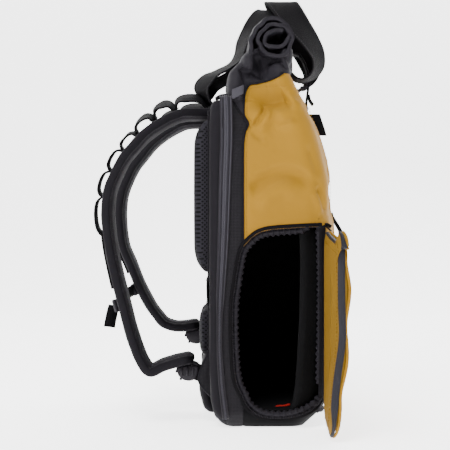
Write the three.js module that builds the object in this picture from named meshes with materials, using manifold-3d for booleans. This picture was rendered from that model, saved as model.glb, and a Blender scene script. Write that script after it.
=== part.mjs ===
// Camera backpack with a rolled top, standing on its base with its side door open.
// Millimetres. +X is the front of the bag, -X the side against the wearer's back,
// -Y the side with the open door. The origin is the middle of the flat base.

import * as THREE from 'three';
import { mergeVertices } from 'three/addons/utils/BufferGeometryUtils.js';
import Module from 'manifold-3d';

const wasm = await Module();
wasm.setup();

// Body sizes
const BODY_HEIGHT = 375;
const HALF_WIDTH = 140;
const REAR_DEPTH = 58;
const FRONT_DEPTH = 72;
const FRONT_CROWN = 12;
const CORNER_RADIUS = 26;
const BACK_RADIUS = 9;
const SIDE_TUCK = 16;
const WALL = 2.5;
const GAP = 0.3;

// Seams between the coloured shell, the base and the harness section
const SEAM_X = -22.6;
const BOOT_TOP = 34;
const FRAME_TOP = 0.928 * BODY_HEIGHT;

// Side opening and its door
const OPENING_DEPTH = 94;
const OPENING_HEIGHT = 201;
const OPENING_FLOOR = 11;
const OPENING_HINGE_X = 60;
const LIP_WIDTH = 6;
const LIP_DEPTH = 8;
const ZIP_WIDTH = 4;
const ZIP_THICKNESS = 1.8;
const DOOR_LENGTH = 90;
const DOOR_HEIGHT = 201.5;
const DOOR_THICKNESS = 9;
const DOOR_FLOOR = 4.5;
const DOOR_RADIUS = 16;
const DOOR_LEAN = 0.06;
const DOOR_ZIP = 3;

// Padded compartment behind the opening
const LINER_WALL = 5;
const LINER_BACK = -44;
const LINER_TOP = 220;
const LINER_FLOOR = 16;
const LINING_TAB = { x: 11, y: -105, length: 17, width: 8, thickness: 1.5 };

// Rolled top
const ROLL_RADIUS = 21.5;
const ROLL_HALF = HALF_WIDTH - 16;
const ROLL_BAND = 3.4;
const ROLL_GAP = 1.6;
const ROLL_TURNS = 2.4;
const ROLL_TAIL = 7;
const ROLL_X = 9.5;
const ROLL_START = THREE.MathUtils.degToRad(215);
const ROLL_TAIL_TURNS = 6;

// Carrying handles, two loops of wide webbing that meet over the roll
const HANDLE_WIDTH = 38;
const HANDLE_THICKNESS = 2;
const HANDLE_SPREAD = 55;
const HANDLE_PEAK = BODY_HEIGHT + 98;
const HANDLE_REACH = 64;
const HANDLE_STEPS = 44;

// Pads on the back, from the base upwards
const PAD_ROUND = 9;
const LOWER_PAD = { low: 5, high: 60, half: HALF_WIDTH - 42, thickness: 12.5, channel: 20, groove: 2 };
const LUMBAR_PAD = { low: 66, high: 122, half: HALF_WIDTH - 68, thickness: 11.5, channel: 20, groove: 5 };
const SLEEVE = { low: 126, high: 156, half: HALF_WIDTH - 28, thickness: 3, channel: 20, groove: 0 };
const UPPER_PAD = {
  low: 160,
  high: 0.88 * BODY_HEIGHT,
  half: HALF_WIDTH - 35,
  thickness: 16.5,
  channel: 20,
  groove: 8,
};
const WING_Y = HALF_WIDTH - 34;
const WING_REACH = 12;
const WING_HEIGHT = 84;
const WING_WEB_Z = 50;

// Shoulder straps and what is on them
const STRAP_REACH = 112;
const STRAP_TOP = FRAME_TOP - 8.5;
const STRAP_DROP = 288;
const STRAP_SPREAD = HALF_WIDTH - 50;
const STRAP_WIDTH = 62;
const STRAP_THICKNESS = 13;
const STRAP_STEPS = 44;
const WEB_THICKNESS = 1.8;
const WEB_WIDTH = 20;
const LOOP_COUNT = 7;
const LOOP_PITCH = 1.36;
const LOOPS_FROM = 0.1;
const LOOP_RISE = 12;
const LOOP_WIDTH = 24;
const LOOP_TAIL = 1.6;
const LOOP_TAIL_STEPS = 4;
const CHEST_BELOW = 0.78;
const CHEST_PLACE = LOOPS_FROM + LOOP_COUNT * LOOP_PITCH + LOOP_TAIL + CHEST_BELOW;
const CHEST_WIDTH = 14;
const CHEST_BOW = 6;
const SLIDER_LENGTH = 14;
const SLIDER_WIDTH = 26;
const SLIDER_THICKNESS = 5;
const BUCKLE_LENGTH = 38;
const BUCKLE_WIDTH = 24;
const BUCKLE_THICKNESS = 9;
const TAIL_LENGTH = 24;
const LOCK_LENGTH = 25;
const LOCK_HEIGHT = 20;
const LOCK_WIDTH = 28;
const LOCK_SINK = 3;

// Zip round the harness section
const LAPTOP_ZIP = { width: 11.5, thickness: 2, x: -42, corner: 6 };

// Small pieces on the throat and front
const TAB_X = -35;
const TAB_Z = FRAME_TOP - 2;
const TAB_LENGTH = 13;
const TAB_HEIGHT = 11;
const TAB_PROUD = 2.5;
const CLOSURE_WIDTH = 20;
const CLOSURE_FOOT = 0.92;
const CLOSURE_TAIL_UP = 0.28;
const HOOK = { radius: 5, bar: 1.8, width: 16, up: 0.46 };
const GEAR_LOOP = { foot: 0.848 * BODY_HEIGHT, height: 25, reach: 11, thickness: 3.6 };
const PULL_TOP = 228;
const PULL_LENGTH = 34;
const PULL_WIDTH = 14;
const PULL_THICKNESS = 4;

// Shape of the body: each row is a level section. up is a share of the body's height, back and
// front of the two depths, half of the half width, the others of their own sizes. lean says
// which way a level moves when the section is set in by a wall.
const BODY_SECTIONS = [
  { up: 0.000, back: 0.72, front: 0.57, half: 0.900, corner: 0.60, crown: 0.5, tuck: 0.0, lean: 1 },
  { up: 0.018, back: 0.83, front: 0.66, half: 0.955, corner: 0.75, crown: 0.7, tuck: 0.0, lean: 1 },
  { up: 0.048, back: 0.93, front: 0.81, half: 1.000, corner: 0.90, crown: 0.9, tuck: 0.0, lean: 0 },
  { up: 0.088, back: 0.98, front: 0.90, half: 1.000, corner: 1.00, crown: 1.0, tuck: 0.0, lean: 0 },
  { up: 0.250, back: 1.00, front: 0.97, half: 1.000, corner: 1.00, crown: 1.0, tuck: 0.0, lean: 0 },
  { up: 0.440, back: 1.00, front: 1.00, half: 1.000, corner: 1.00, crown: 1.0, tuck: 0.0, lean: 0 },
  { up: 0.565, back: 1.00, front: 0.98, half: 1.000, corner: 1.00, crown: 1.0, tuck: 0.0, lean: 0 },
  { up: 0.620, back: 1.00, front: 0.93, half: 1.000, corner: 1.00, crown: 1.0, tuck: 0.0, lean: 0 },
  { up: 0.685, back: 1.00, front: 0.93, half: 1.000, corner: 1.00, crown: 1.0, tuck: 0.0, lean: 0 },
  { up: 0.747, back: 1.00, front: 0.88, half: 0.995, corner: 1.00, crown: 1.0, tuck: 0.05, lean: 0 },
  { up: 0.805, back: 1.00, front: 0.81, half: 0.985, corner: 0.95, crown: 1.0, tuck: 0.15, lean: 0 },
  { up: 0.850, back: 1.00, front: 0.73, half: 0.975, corner: 0.90, crown: 1.0, tuck: 0.30, lean: 0 },
  { up: 0.900, back: 0.98, front: 0.63, half: 0.960, corner: 0.80, crown: 0.9, tuck: 0.25, lean: 0 },
  { up: 0.920, back: 0.93, front: 0.59, half: 0.950, corner: 0.75, crown: 0.8, tuck: 0.25, lean: -1 },
  { up: 0.928, back: 0.68, front: 0.56, half: 0.945, corner: 0.70, crown: 0.7, tuck: 0.30, lean: -1 },
  { up: 0.976, back: 0.67, front: 0.43, half: 0.925, corner: 0.60, crown: 0.5, tuck: 0.55, lean: -1 },
  { up: 1.000, back: 0.64, front: 0.39, half: 0.915, corner: 0.50, crown: 0.3, tuck: 0.75, lean: -1 },
  { up: 1.022, back: 0.53, front: 0.40, half: 0.905, corner: 0.45, crown: 0.1, tuck: 0.90, lean: -1 },
  { up: 1.045, back: 0.43, front: 0.41, half: 0.895, corner: 0.40, crown: 0.0, tuck: 0.95, lean: -1 },
];

// Edge of the coloured shell against the black parts behind and above it, from the base
// upwards: on is a share of the seam's distance from the origin, up of the body's height
const SHELL_EDGE = [
  { on: 1.00, up: 0.790 },
  { on: 0.86, up: 0.838 },
  { on: 0.75, up: 0.856 },
  { on: 0.96, up: 0.880 },
  { on: 0.96, up: 0.917 },
  { on: 0.90, up: 0.945 },
  { on: 0.71, up: 0.968 },
  { on: 0.27, up: 0.973 },
  { on: -0.53, up: 0.987 },
  { on: -0.88, up: 1.000 },
];

// Outline of the side opening from the hinge's foot round the free side to the hinge's top:
// away is a share of the opening's depth from the hinge, up of its height
const OPENING_EDGE = [
  { away: 0.00, up: 0.10 },
  { away: 0.08, up: 0.054 },
  { away: 0.22, up: 0.023 },
  { away: 0.36, up: 0.005 },
  { away: 0.51, up: 0.000 },
  { away: 0.65, up: 0.008 },
  { away: 0.75, up: 0.028 },
  { away: 0.845, up: 0.068 },
  { away: 0.89, up: 0.115 },
  { away: 0.97, up: 0.210 },
  { away: 1.00, up: 0.410 },
  { away: 1.00, up: 0.585 },
  { away: 0.975, up: 0.685 },
  { away: 0.93, up: 0.820 },
  { away: 0.885, up: 0.890 },
  { away: 0.79, up: 0.940 },
  { away: 0.695, up: 0.970 },
  { away: 0.55, up: 0.985 },
  { away: 0.25, up: 0.995 },
  { away: 0.00, up: 1.000 },
];

// Near half of each handle from its anchor to its peak: ahead is a share of the handles' reach
// to the front, side of their half spread, up of the peak's height. turn is how far the webbing
// has twisted, from 0 where its face looks along the bag to a quarter turn where it lies flat.
const QUARTER = Math.PI / 2;
const FRONT_HANDLE = [
  { side: 1.00, up: 0.824, turn: 0 },
  { side: 1.00, up: 0.811, turn: 0 },
  { ahead: 0.58, side: 1.00, up: 0.797, turn: 0 },
  { ahead: 0.70, side: 1.00, up: 0.794, turn: 0.05 * QUARTER },
  { ahead: 0.83, side: 1.00, up: 0.801, turn: 0.1 * QUARTER },
  { ahead: 0.93, side: 0.99, up: 0.817, turn: 0.2 * QUARTER },
  { ahead: 0.97, side: 0.96, up: 0.840, turn: 0.3 * QUARTER },
  { ahead: 0.91, side: 0.88, up: 0.870, turn: 0.45 * QUARTER },
  { ahead: 0.78, side: 0.74, up: 0.903, turn: 0.6 * QUARTER },
  { ahead: 0.61, side: 0.55, up: 0.940, turn: 0.75 * QUARTER },
  { ahead: 0.43, side: 0.26, up: 0.984, turn: 0.9 * QUARTER },
  { ahead: 0.35, side: 0.00, up: 1.000, turn: QUARTER },
];
const BACK_HANDLE = [
  { ahead: -0.80, side: 1.00, up: 0.7335, turn: 0 },
  { ahead: -0.90, side: 1.00, up: 0.7390, turn: 0 },
  { ahead: -1.00, side: 1.02, up: 0.757, turn: -0.15 * QUARTER },
  { ahead: -1.05, side: 1.02, up: 0.780, turn: -0.35 * QUARTER },
  { ahead: -0.93, side: 0.98, up: 0.803, turn: -0.4 * QUARTER },
  { ahead: -0.70, side: 0.93, up: 0.820, turn: -0.35 * QUARTER },
  { ahead: -0.49, side: 0.86, up: 0.839, turn: -0.25 * QUARTER },
  { ahead: -0.38, side: 0.77, up: 0.868, turn: -0.2 * QUARTER },
  { ahead: -0.29, side: 0.65, up: 0.902, turn: -0.3 * QUARTER },
  { ahead: -0.08, side: 0.50, up: 0.938, turn: -0.62 * QUARTER },
  { ahead: 0.11, side: 0.25, up: 0.967, turn: -0.88 * QUARTER },
  { ahead: 0.22, side: 0.00, up: 0.979, turn: -QUARTER },
];

// Levels of a back pad: up is a share of its height, swell of its thickness
const PAD_LEVELS = [
  { up: 0.00, swell: 0.40 },
  { up: 0.06, swell: 0.80 },
  { up: 0.18, swell: 1.00 },
  { up: 0.50, swell: 1.00 },
  { up: 0.82, swell: 1.00 },
  { up: 0.94, swell: 0.80 },
  { up: 1.00, swell: 0.40 },
];

// Rear edge of a lower wing, from the top down, as shares of its reach and height
const WING_EDGE = [
  { out: 0.00, up: 1.00 },
  { out: 0.65, up: 0.74 },
  { out: 1.00, up: 0.64 },
  { out: 1.00, up: 0.54 },
  { out: 0.60, up: 0.46 },
  { out: 0.00, up: 0.34 },
];

// Shoulder strap from its anchor: out is a share of its reach, drop of its drop, side of its
// spread and wide of its width. Both straps share the upper rows and hang differently below.
const STRAP_UPPER = [
  { out: 0.00, drop: 0.005, side: 0.55, wide: 0.85 },
  { out: 0.25, drop: 0.010, side: 0.60, wide: 1 },
  { out: 0.39, drop: 0.028, side: 0.65, wide: 1 },
  { out: 0.53, drop: 0.060, side: 0.70, wide: 1 },
  { out: 0.65, drop: 0.098, side: 0.75, wide: 1 },
  { out: 0.755, drop: 0.145, side: 0.80, wide: 1 },
  { out: 0.845, drop: 0.190, side: 0.84, wide: 1 },
  { out: 0.92, drop: 0.247, side: 0.87, wide: 1 },
  { out: 0.98, drop: 0.312, side: 0.89, wide: 1 },
  { out: 1.00, drop: 0.400, side: 0.90, wide: 1 },
  { out: 0.965, drop: 0.520, side: 0.92, wide: 1 },
];
const STRAP_NEAR_LOWER = [
  { out: 0.893, drop: 0.650, side: 0.94, wide: 1 },
  { out: 0.835, drop: 0.735, side: 0.96, wide: 1 },
  { out: 0.79, drop: 0.805, side: 0.97, wide: 0.97 },
  { out: 0.73, drop: 0.880, side: 0.98, wide: 0.94 },
  { out: 0.655, drop: 0.950, side: 1.00, wide: 0.9 },
  { out: 0.575, drop: 0.985, side: 1.00, wide: 0.88 },
  { out: 0.45, drop: 0.965, side: 1.00, wide: 0.85 },
  { out: 0.28, drop: 0.945, side: 1.00, wide: 0.8 },
  { out: 0.165, drop: 0.937, side: 1.00, wide: 0.7 },
];
const STRAP_FAR_LOWER = [
  { out: 0.875, drop: 0.610, side: 0.94, wide: 1 },
  { out: 0.78, drop: 0.700, side: 0.96, wide: 1 },
  { out: 0.68, drop: 0.775, side: 0.97, wide: 0.97 },
  { out: 0.60, drop: 0.820, side: 0.98, wide: 0.94 },
  { out: 0.52, drop: 0.855, side: 1.00, wide: 0.9 },
  { out: 0.42, drop: 0.870, side: 1.00, wide: 0.88 },
  { out: 0.33, drop: 0.872, side: 1.00, wide: 0.85 },
  { out: 0.24, drop: 0.868, side: 1.00, wide: 0.8 },
  { out: 0.14, drop: 0.860, side: 1.00, wide: 0.7 },
];

// One open loop of the webbing on a strap: along is a share of the loop's pitch, rise of its rise
const LOOP_ARCH = [
  { along: 0.00, rise: 0 },
  { along: 0.10, rise: 0.1 },
  { along: 0.28, rise: 0.85 },
  { along: 0.50, rise: 1 },
  { along: 0.72, rise: 0.85 },
  { along: 0.90, rise: 0.1 },
];

// Free end of a strap: out and drop are shares of its length
const TAIL_DROP = [
  { out: 0.00, drop: 0.0 },
  { out: 0.08, drop: 0.5 },
  { out: 0.20, drop: 1.0 },
];

// Side outline of a strap buckle: along is a share of its length from its middle, down of its
// height
const LOCK_EDGE = [
  { along: -0.50, down: 0.0 },
  { along: -0.20, down: 0.02 },
  { along: 0.15, down: 0.15 },
  { along: 0.48, down: 0.25 },
  { along: 0.50, down: 0.50 },
  { along: 0.35, down: 0.92 },
  { along: 0.12, down: 1.0 },
  { along: -0.15, down: 0.95 },
  { along: -0.38, down: 0.7 },
  { along: -0.45, down: 0.35 },
];

// Zip round the harness section, up its side: x is a share of its usual place, up of the frame
const LAPTOP_ZIP_RUN = [
  { x: 1.00, up: 0.045 },
  { x: 1.08, up: 0.14 },
  { x: 1.13, up: 0.30 },
  { x: 1.10, up: 0.45 },
  { x: 1.04, up: 0.62 },
  { x: 0.98, up: 0.80 },
  { x: 0.97, up: 0.90 },
  { x: 1.00, up: 0.965 },
];

// Webbing tab on the throat, as shares of its length and height
const TAB_EDGE = [
  { along: 0.00, up: 0.45 },
  { along: 0.02, up: 0.95 },
  { along: 1.00, up: 1.45 },
  { along: 0.95, up: 0.50 },
  { along: 0.10, up: 0.00 },
];

// Strap from the roll to the front: out is a share of the distance between its ends, up of the
// rise between them
const CLOSURE_RUN = [
  { out: 0.00, up: 0.00 },
  { out: -0.03, up: 0.30 },
  { out: 0.08, up: 0.48 },
  { out: 0.10, up: 0.66 },
  { out: -0.15, up: 0.84 },
  { out: -0.55, up: 0.97 },
  { out: -1.00, up: 1.00 },
];

// Pull on the front: out and drop are shares of its length
const PULL_RUN = [
  { out: 0.00, drop: 0.0 },
  { out: 0.04, drop: 0.15 },
  { out: 0.25, drop: 0.5 },
  { out: 0.48, drop: 0.9 },
];

const THROAT_TOP = BODY_SECTIONS.at(-1).up * BODY_HEIGHT;
const ACROSS_BAG = 3 * HALF_WIDTH;

// Colours and finishes
const FINISHES = {
  shell: { color: 0xba9558, roughness: 0.62, metalness: 0 },
  black: { color: 0x2e2b2f, roughness: 0.85, metalness: 0 },
  boot: { color: 0x26242a, roughness: 0.6, metalness: 0 },
  webbing: { color: 0x242226, roughness: 0.8, metalness: 0 },
  zip: { color: 0x57545c, roughness: 0.55, metalness: 0 },
  mesh: { color: 0x1d1c20, roughness: 0.95, metalness: 0 },
  lining: { color: 0x0d0d0f, roughness: 0.95, metalness: 0 },
  plastic: { color: 0x4b474f, roughness: 0.45, metalness: 0 },
  red: { color: 0x9c1f1c, roughness: 0.7, metalness: 0 },
};

const bag = new THREE.Group();

function addPiece(name, geometry, finish) {
  const mesh = new THREE.Mesh(geometry, new THREE.MeshStandardMaterial(FINISHES[finish]));
  mesh.name = name;
  bag.add(mesh);
}

// Solids for cutting and joining

function toSolid(geometry) {
  const bare = geometry.clone();
  bare.deleteAttribute('normal');
  bare.deleteAttribute('uv');
  const merged = mergeVertices(bare, 1e-4);
  const triVerts = new Uint32Array(merged.index.array);
  const vertProperties = new Float32Array(merged.attributes.position.array);
  return new wasm.Manifold(new wasm.Mesh({ numProp: 3, vertProperties, triVerts }));
}

function toGeometry(solid) {
  const { vertProperties, triVerts } = solid.getMesh();
  const geometry = new THREE.BufferGeometry();
  geometry.setAttribute('position', new THREE.BufferAttribute(vertProperties, 3));
  geometry.setIndex(new THREE.BufferAttribute(triVerts, 1));
  geometry.computeVertexNormals();
  return geometry;
}

// A closed skin over rings of points, each ring counter-clockwise seen from the last one
function loft(rings) {
  const count = rings[0].length;
  const points = rings.flat();
  const index = [];
  for (let i = 0; i < rings.length - 1; i += 1) {
    for (let j = 0; j < count; j += 1) {
      const next = (j + 1) % count;
      const [a, b] = [i * count + j, i * count + next];
      const [c, d] = [b + count, a + count];
      index.push(a, b, c, a, c, d);
    }
  }
  [0, rings.length - 1].forEach((end) => {
    const middle = new THREE.Vector3();
    rings[end].forEach((point) => middle.addScaledVector(point, 1 / count));
    const hub = points.push(middle) - 1;
    for (let j = 0; j < count; j += 1) {
      const [a, b] = [end * count + j, end * count + ((j + 1) % count)];
      index.push(hub, ...(end === 0 ? [b, a] : [a, b]));
    }
  });
  const geometry = new THREE.BufferGeometry().setFromPoints(points);
  geometry.setIndex(index);
  geometry.computeVertexNormals();
  return geometry;
}

// A prism along Y over a side outline of [x, z] points
function sidePrism(outline, fromY, toY) {
  const shape = new THREE.Shape(outline.map(([x, z]) => new THREE.Vector2(x, z)));
  const prism = new THREE.ExtrudeGeometry(shape, { depth: toY - fromY, bevelEnabled: false });
  prism.rotateX(Math.PI / 2);
  prism.translate(0, toY, 0);
  return prism;
}

// A plain block between two corners
function block(low, high) {
  const size = high.map((value, axis) => value - low[axis]);
  const box = new THREE.BoxGeometry(...size);
  box.translate(...high.map((value, axis) => (value + low[axis]) / 2));
  return box;
}

// An outline moved outwards by a distance, or inwards where it is negative. The outline runs
// clockwise seen from the -Y side, with z up and x to the right.
function movedOutline(outline, distance) {
  const last = outline.length - 1;
  const pick = (i) => outline[Math.min(Math.max(i, 0), last)];
  const outward = (from, to) => new THREE.Vector2(from[1] - to[1], to[0] - from[0]).normalize();
  return outline.map(([x, z], i) => {
    const before = outward(pick(i - 1), pick(i));
    const after = outward(pick(i), pick(i + 1));
    const both = before.clone().add(after);
    const reach = distance / (before.length() * after.length() > 0 ? 1 + before.dot(after) : 1);
    return [x + both.x * reach, z + both.y * reach];
  });
}

// An outline drawn in towards its middle, so that it keeps its corners
function shrunkOutline(outline, distance) {
  const box = new THREE.Box2().setFromPoints(outline.map(([x, z]) => new THREE.Vector2(x, z)));
  const middle = box.getCenter(new THREE.Vector2());
  const size = box.getSize(new THREE.Vector2());
  const [shareX, shareZ] = [1 - (2 * distance) / size.x, 1 - (2 * distance) / size.y];
  return outline.map(([x, z]) => [
    middle.x + (x - middle.x) * shareX,
    middle.y + (z - middle.y) * shareZ,
  ]);
}

// A strip beside an open outline, between two distances from it
function besideOutline(outline, near, far) {
  return [...movedOutline(outline, near), ...movedOutline(outline, far).reverse()];
}

// Points of an arc in a level section
function cornerArc(x, y, radius, from, to, steps) {
  return Array.from({ length: steps + 1 }, (_, i) => {
    const turn = from + ((to - from) * i) / steps;
    return [x + radius * Math.cos(turn), y + radius * Math.sin(turn)];
  });
}

// One level section of the body, set in by a distance
function bodyRing(row, inset) {
  const z = row.up * BODY_HEIGHT + row.lean * inset;
  const back = inset - row.back * REAR_DEPTH;
  const front = row.front * FRONT_DEPTH - inset;
  const half = row.half * HALF_WIDTH - inset;
  const corner = row.corner * CORNER_RADIUS - inset;
  const rear = BACK_RADIUS - inset / 2;
  const crown = row.crown * FRONT_CROWN;
  const side = half - row.tuck * SIDE_TUCK;
  const flat = half - corner;
  const sideFrom = back + rear;
  const sideTo = front - corner;
  const halfRing = [
    [back, half / 2],
    ...cornerArc(sideFrom, half - rear, rear, Math.PI, Math.PI / 2, 2),
    ...[0.3, 0.7].map((share) => [sideFrom + (sideTo - sideFrom) * share, side]),
    ...cornerArc(sideTo, flat, corner, Math.PI / 2, 0, 4),
    ...[0.66, 0.33].map((share) => [front + crown * (1 - share * share), flat * share]),
  ];
  const near = halfRing.map(([x, y]) => new THREE.Vector3(x, -y, z));
  const far = halfRing.map(([x, y]) => new THREE.Vector3(x, y, z)).reverse();
  const behind = new THREE.Vector3(back, 0, z);
  const ahead = new THREE.Vector3(front + crown, 0, z);
  return [behind, ...near, ahead, ...far];
}

function bodySolid(inset) {
  return toSolid(loft(BODY_SECTIONS.map((row) => bodyRing(row, inset))));
}

// The pieces cut from the body

const bodyOuter = bodySolid(0);
const bodyHollow = bodySolid(WALL);
const bodyWall = bodyOuter.subtract(bodyHollow);

const openingOutline = OPENING_EDGE.map(({ away, up }) => [
  OPENING_HINGE_X - away * OPENING_DEPTH,
  OPENING_FLOOR + up * OPENING_HEIGHT,
]);
const openingCut = toSolid(sidePrism(openingOutline, -ACROSS_BAG / 2, CORNER_RADIUS - HALF_WIDTH));

function shellRegion(shiftX, shiftZ) {
  const edge = SHELL_EDGE.map(({ on, up }) => [on * SEAM_X, up * BODY_HEIGHT]);
  const farX = 2 * FRONT_DEPTH;
  const outline = [[SEAM_X, BOOT_TOP], ...edge, [farX, edge.at(-1)[1]], [farX, BOOT_TOP]];
  const moved = outline.map(([x, z]) => [x + shiftX, z + shiftZ]);
  return toSolid(sidePrism(moved, -ACROSS_BAG / 2, ACROSS_BAG / 2));
}

// Takes the shell's region, with the seam gap round it, out of a neighbour
function clearOfShell(solid) {
  return [[-GAP, 0], [0, GAP], [0, -GAP]].reduce(
    (rest, [x, z]) => rest.subtract(shellRegion(x, z)),
    solid,
  );
}

function within(solid, low, high) {
  return solid.intersect(toSolid(block(low, high)));
}

const FAR = 2 * BODY_HEIGHT;

function addShell() {
  const shell = bodyWall.intersect(shellRegion(0, 0)).subtract(openingCut);
  addPiece('main_shell', toGeometry(shell), 'shell');
}

function addBoot() {
  const tray = within(bodyWall, [SEAM_X, -FAR, -FAR], [FAR, FAR, BOOT_TOP + WALL]);
  addPiece('base_boot', toGeometry(clearOfShell(tray).subtract(openingCut)), 'boot');
}

function addFrame() {
  const behind = within(bodyWall, [-FAR, -FAR, -FAR], [0, FAR, FRAME_TOP]);
  const clear = clearOfShell(behind);
  const boot = toSolid(block([SEAM_X - GAP, -FAR, -FAR], [FAR, FAR, BOOT_TOP + WALL]));
  addPiece('back_frame', toGeometry(clear.subtract(boot).subtract(openingCut)), 'black');
}

function addCollar() {
  const above = within(bodyWall, [-FAR, -FAR, FRAME_TOP + GAP], [FAR, FAR, FAR]);
  addPiece('collar', toGeometry(clearOfShell(above)), 'black');
}

function addLiner() {
  const low = [LINER_BACK, -FAR, -FAR];
  const high = [FAR, FAR, LINER_TOP];
  const skin = within(bodySolid(WALL + GAP), low, high);
  const inLow = [LINER_BACK + LINER_WALL, -FAR, LINER_FLOOR];
  const inHigh = [FAR, FAR, LINER_TOP - LINER_WALL];
  const room = within(bodySolid(WALL + GAP + LINER_WALL), inLow, inHigh);
  addPiece('compartment_liner', toGeometry(skin.subtract(room).subtract(openingCut)), 'lining');
}

addShell();
addBoot();
addFrame();
addCollar();
addLiner();

// Places on the body's surface

// The row of a level between two rows of the table
function rowAt(z) {
  const up = z / BODY_HEIGHT;
  const next = BODY_SECTIONS.findIndex((row) => row.up >= up);
  const above = BODY_SECTIONS[next < 0 ? BODY_SECTIONS.length - 1 : Math.max(next, 1)];
  const below = BODY_SECTIONS[BODY_SECTIONS.indexOf(above) - 1];
  const share = (up - below.up) / (above.up - below.up);
  const blend = (key) => [key, below[key] + (above[key] - below[key]) * share];
  return Object.fromEntries([...Object.keys(below).map(blend), ['lean', 0], ['up', up]]);
}

// How far the side of the body stands from the middle plane at a place
function sideY(x, z) {
  const ring = bodyRing(rowAt(z), 0).filter((point) => point.y < 0);
  const next = ring.findIndex((point) => point.x > x);
  const [from, to] = [ring[next - 1], ring[next]];
  return -(from.y + ((to.y - from.y) * (x - from.x)) / (to.x - from.x));
}

// The front of the body in its middle plane
function frontX(z) {
  const row = rowAt(z);
  return row.front * FRONT_DEPTH + row.crown * FRONT_CROWN;
}

// A level section of a pad or strap: u runs across it and v out of it
const PADDED = [
  [-0.5, -0.2], [-0.42, -0.5], [0.42, -0.5], [0.5, -0.2],
  [0.5, 0.2], [0.42, 0.5], [-0.42, 0.5], [-0.5, 0.2],
];
const FLAT = [[-0.5, -0.5], [0.5, -0.5], [0.5, 0.5], [-0.5, 0.5]];
const RIDGED = [
  [-0.5, -0.5], [0.5, -0.5], [0.5, 0.1], [0.16, 0.15],
  [0.1, 0.5], [-0.1, 0.5], [-0.16, 0.15], [-0.5, 0.1],
];

// The line that a ribbon follows, with its directions and size at each step. A row gives a
// point, the direction across the ribbon there, its width and its thickness.
function strapPath(rows) {
  return new THREE.CatmullRomCurve3(rows.map((row) => row.at), false, 'centripetal');
}

function stationAt(path, rows, t) {
  const place = t * (rows.length - 1);
  const low = Math.min(Math.floor(place), rows.length - 2);
  const [from, to] = [rows[low], rows[low + 1]];
  const mix = (key) => from[key] + (to[key] - from[key]) * (place - low);
  const along = path.getTangent(t);
  const across = from.across.clone().lerp(to.across, place - low);
  across.addScaledVector(along, -across.dot(along)).normalize();
  const out = along.clone().cross(across);
  return { at: path.getPoint(t), along, across, out, width: mix('width'), thick: mix('thick') };
}

function stations(rows, steps) {
  const path = strapPath(rows);
  return Array.from({ length: steps + 1 }, (_, i) => stationAt(path, rows, i / steps));
}

function ribbon(line, section) {
  return loft(line.map(({ at, across, out, width, thick }) => section.map(([u, v]) => (
    at.clone().addScaledVector(across, u * width).addScaledVector(out, v * thick)
  ))));
}

const vec = (x, y, z) => new THREE.Vector3(x, y, z);

// A prism along X over an outline of [away from the middle towards -Y, z] points
function doorPrism(outline, depth) {
  const shape = new THREE.Shape(outline.map(([away, z]) => new THREE.Vector2(-away, z)));
  const prism = new THREE.ExtrudeGeometry(shape, { depth, bevelEnabled: false });
  prism.applyMatrix4(new THREE.Matrix4().makeBasis(vec(0, 1, 0), vec(0, 0, 1), vec(1, 0, 0)));
  return prism;
}

function mainBody(solid) {
  return solid.decompose().sort((a, b) => b.volume() - a.volume())[0];
}

// A piece with its neighbours, and a gap on each side of them, taken out of it
function clearOf(solid, neighbours) {
  const shifts = [[1, 0, 0], [-1, 0, 0], [0, 1, 0], [0, -1, 0], [0, 0, 1], [0, 0, -1]];
  const cut = (piece, other) => shifts.reduce(
    (rest, shift) => rest.subtract(other.translate(shift.map((step) => step * GAP))),
    piece,
  );
  return mainBody(neighbours.reduce(cut, solid));
}

// A piece that lies on the body's surface
function seated(solid) {
  return toGeometry(clearOf(solid, [bodyOuter]));
}

function addOpeningEdge() {
  const [rim, mouth] = [2 * GAP, LIP_WIDTH].map((distance) => (
    shrunkOutline(openingOutline, distance).map(([x, z]) => new THREE.Vector2(x, z))
  ));
  const shape = new THREE.Shape(rim.reverse());
  shape.holes.push(new THREE.Path(mouth));
  const lip = new THREE.ExtrudeGeometry(shape, { depth: LIP_DEPTH, bevelEnabled: false });
  lip.rotateX(Math.PI / 2);
  lip.translate(0, LIP_DEPTH - HALF_WIDTH + WALL / 2, 0);
  addPiece('opening_lip', lip, 'lining');
  const outer = -HALF_WIDTH - GAP - ZIP_THICKNESS;
  const strip = besideOutline(openingOutline, GAP, ZIP_WIDTH);
  const band = toSolid(sidePrism(strip, outer, WALL - HALF_WIDTH));
  const clear = within(band, [-FAR, -FAR, -FAR], [OPENING_HINGE_X, FAR, FAR]);
  addPiece('opening_zip', seated(clear), 'zip');
}

// The door swings on an upright line at the front edge of the opening
const DOOR_X = OPENING_HINGE_X + 1;
const doorRootY = -sideY(DOOR_X, 0.44 * BODY_HEIGHT) - GAP;

function doorOutline() {
  const top = DOOR_FLOOR + DOOR_HEIGHT;
  const end = DOOR_LENGTH - DOOR_RADIUS;
  const turn = Math.PI / 2;
  return [
    [0, DOOR_FLOOR],
    ...cornerArc(end, DOOR_FLOOR + DOOR_RADIUS, DOOR_RADIUS, -turn, 0, 4),
    ...cornerArc(end, top - DOOR_RADIUS, DOOR_RADIUS, 0, turn, 4),
    [0, top],
  ];
}

function placeDoor(geometry) {
  geometry.rotateZ(DOOR_LEAN);
  geometry.translate(DOOR_X, doorRootY, 0);
  return geometry;
}

function addDoor() {
  const outline = doorOutline();
  addPiece('door_panel', placeDoor(doorPrism(outline, DOOR_THICKNESS)), 'shell');
  const mirrored = outline.map(([away, z]) => [-away, z]);
  const band = besideOutline(mirrored, GAP, DOOR_ZIP).map(([away, z]) => [-away, z]);
  addPiece('door_zip', placeDoor(doorPrism(band, DOOR_THICKNESS)), 'zip');
}

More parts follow.
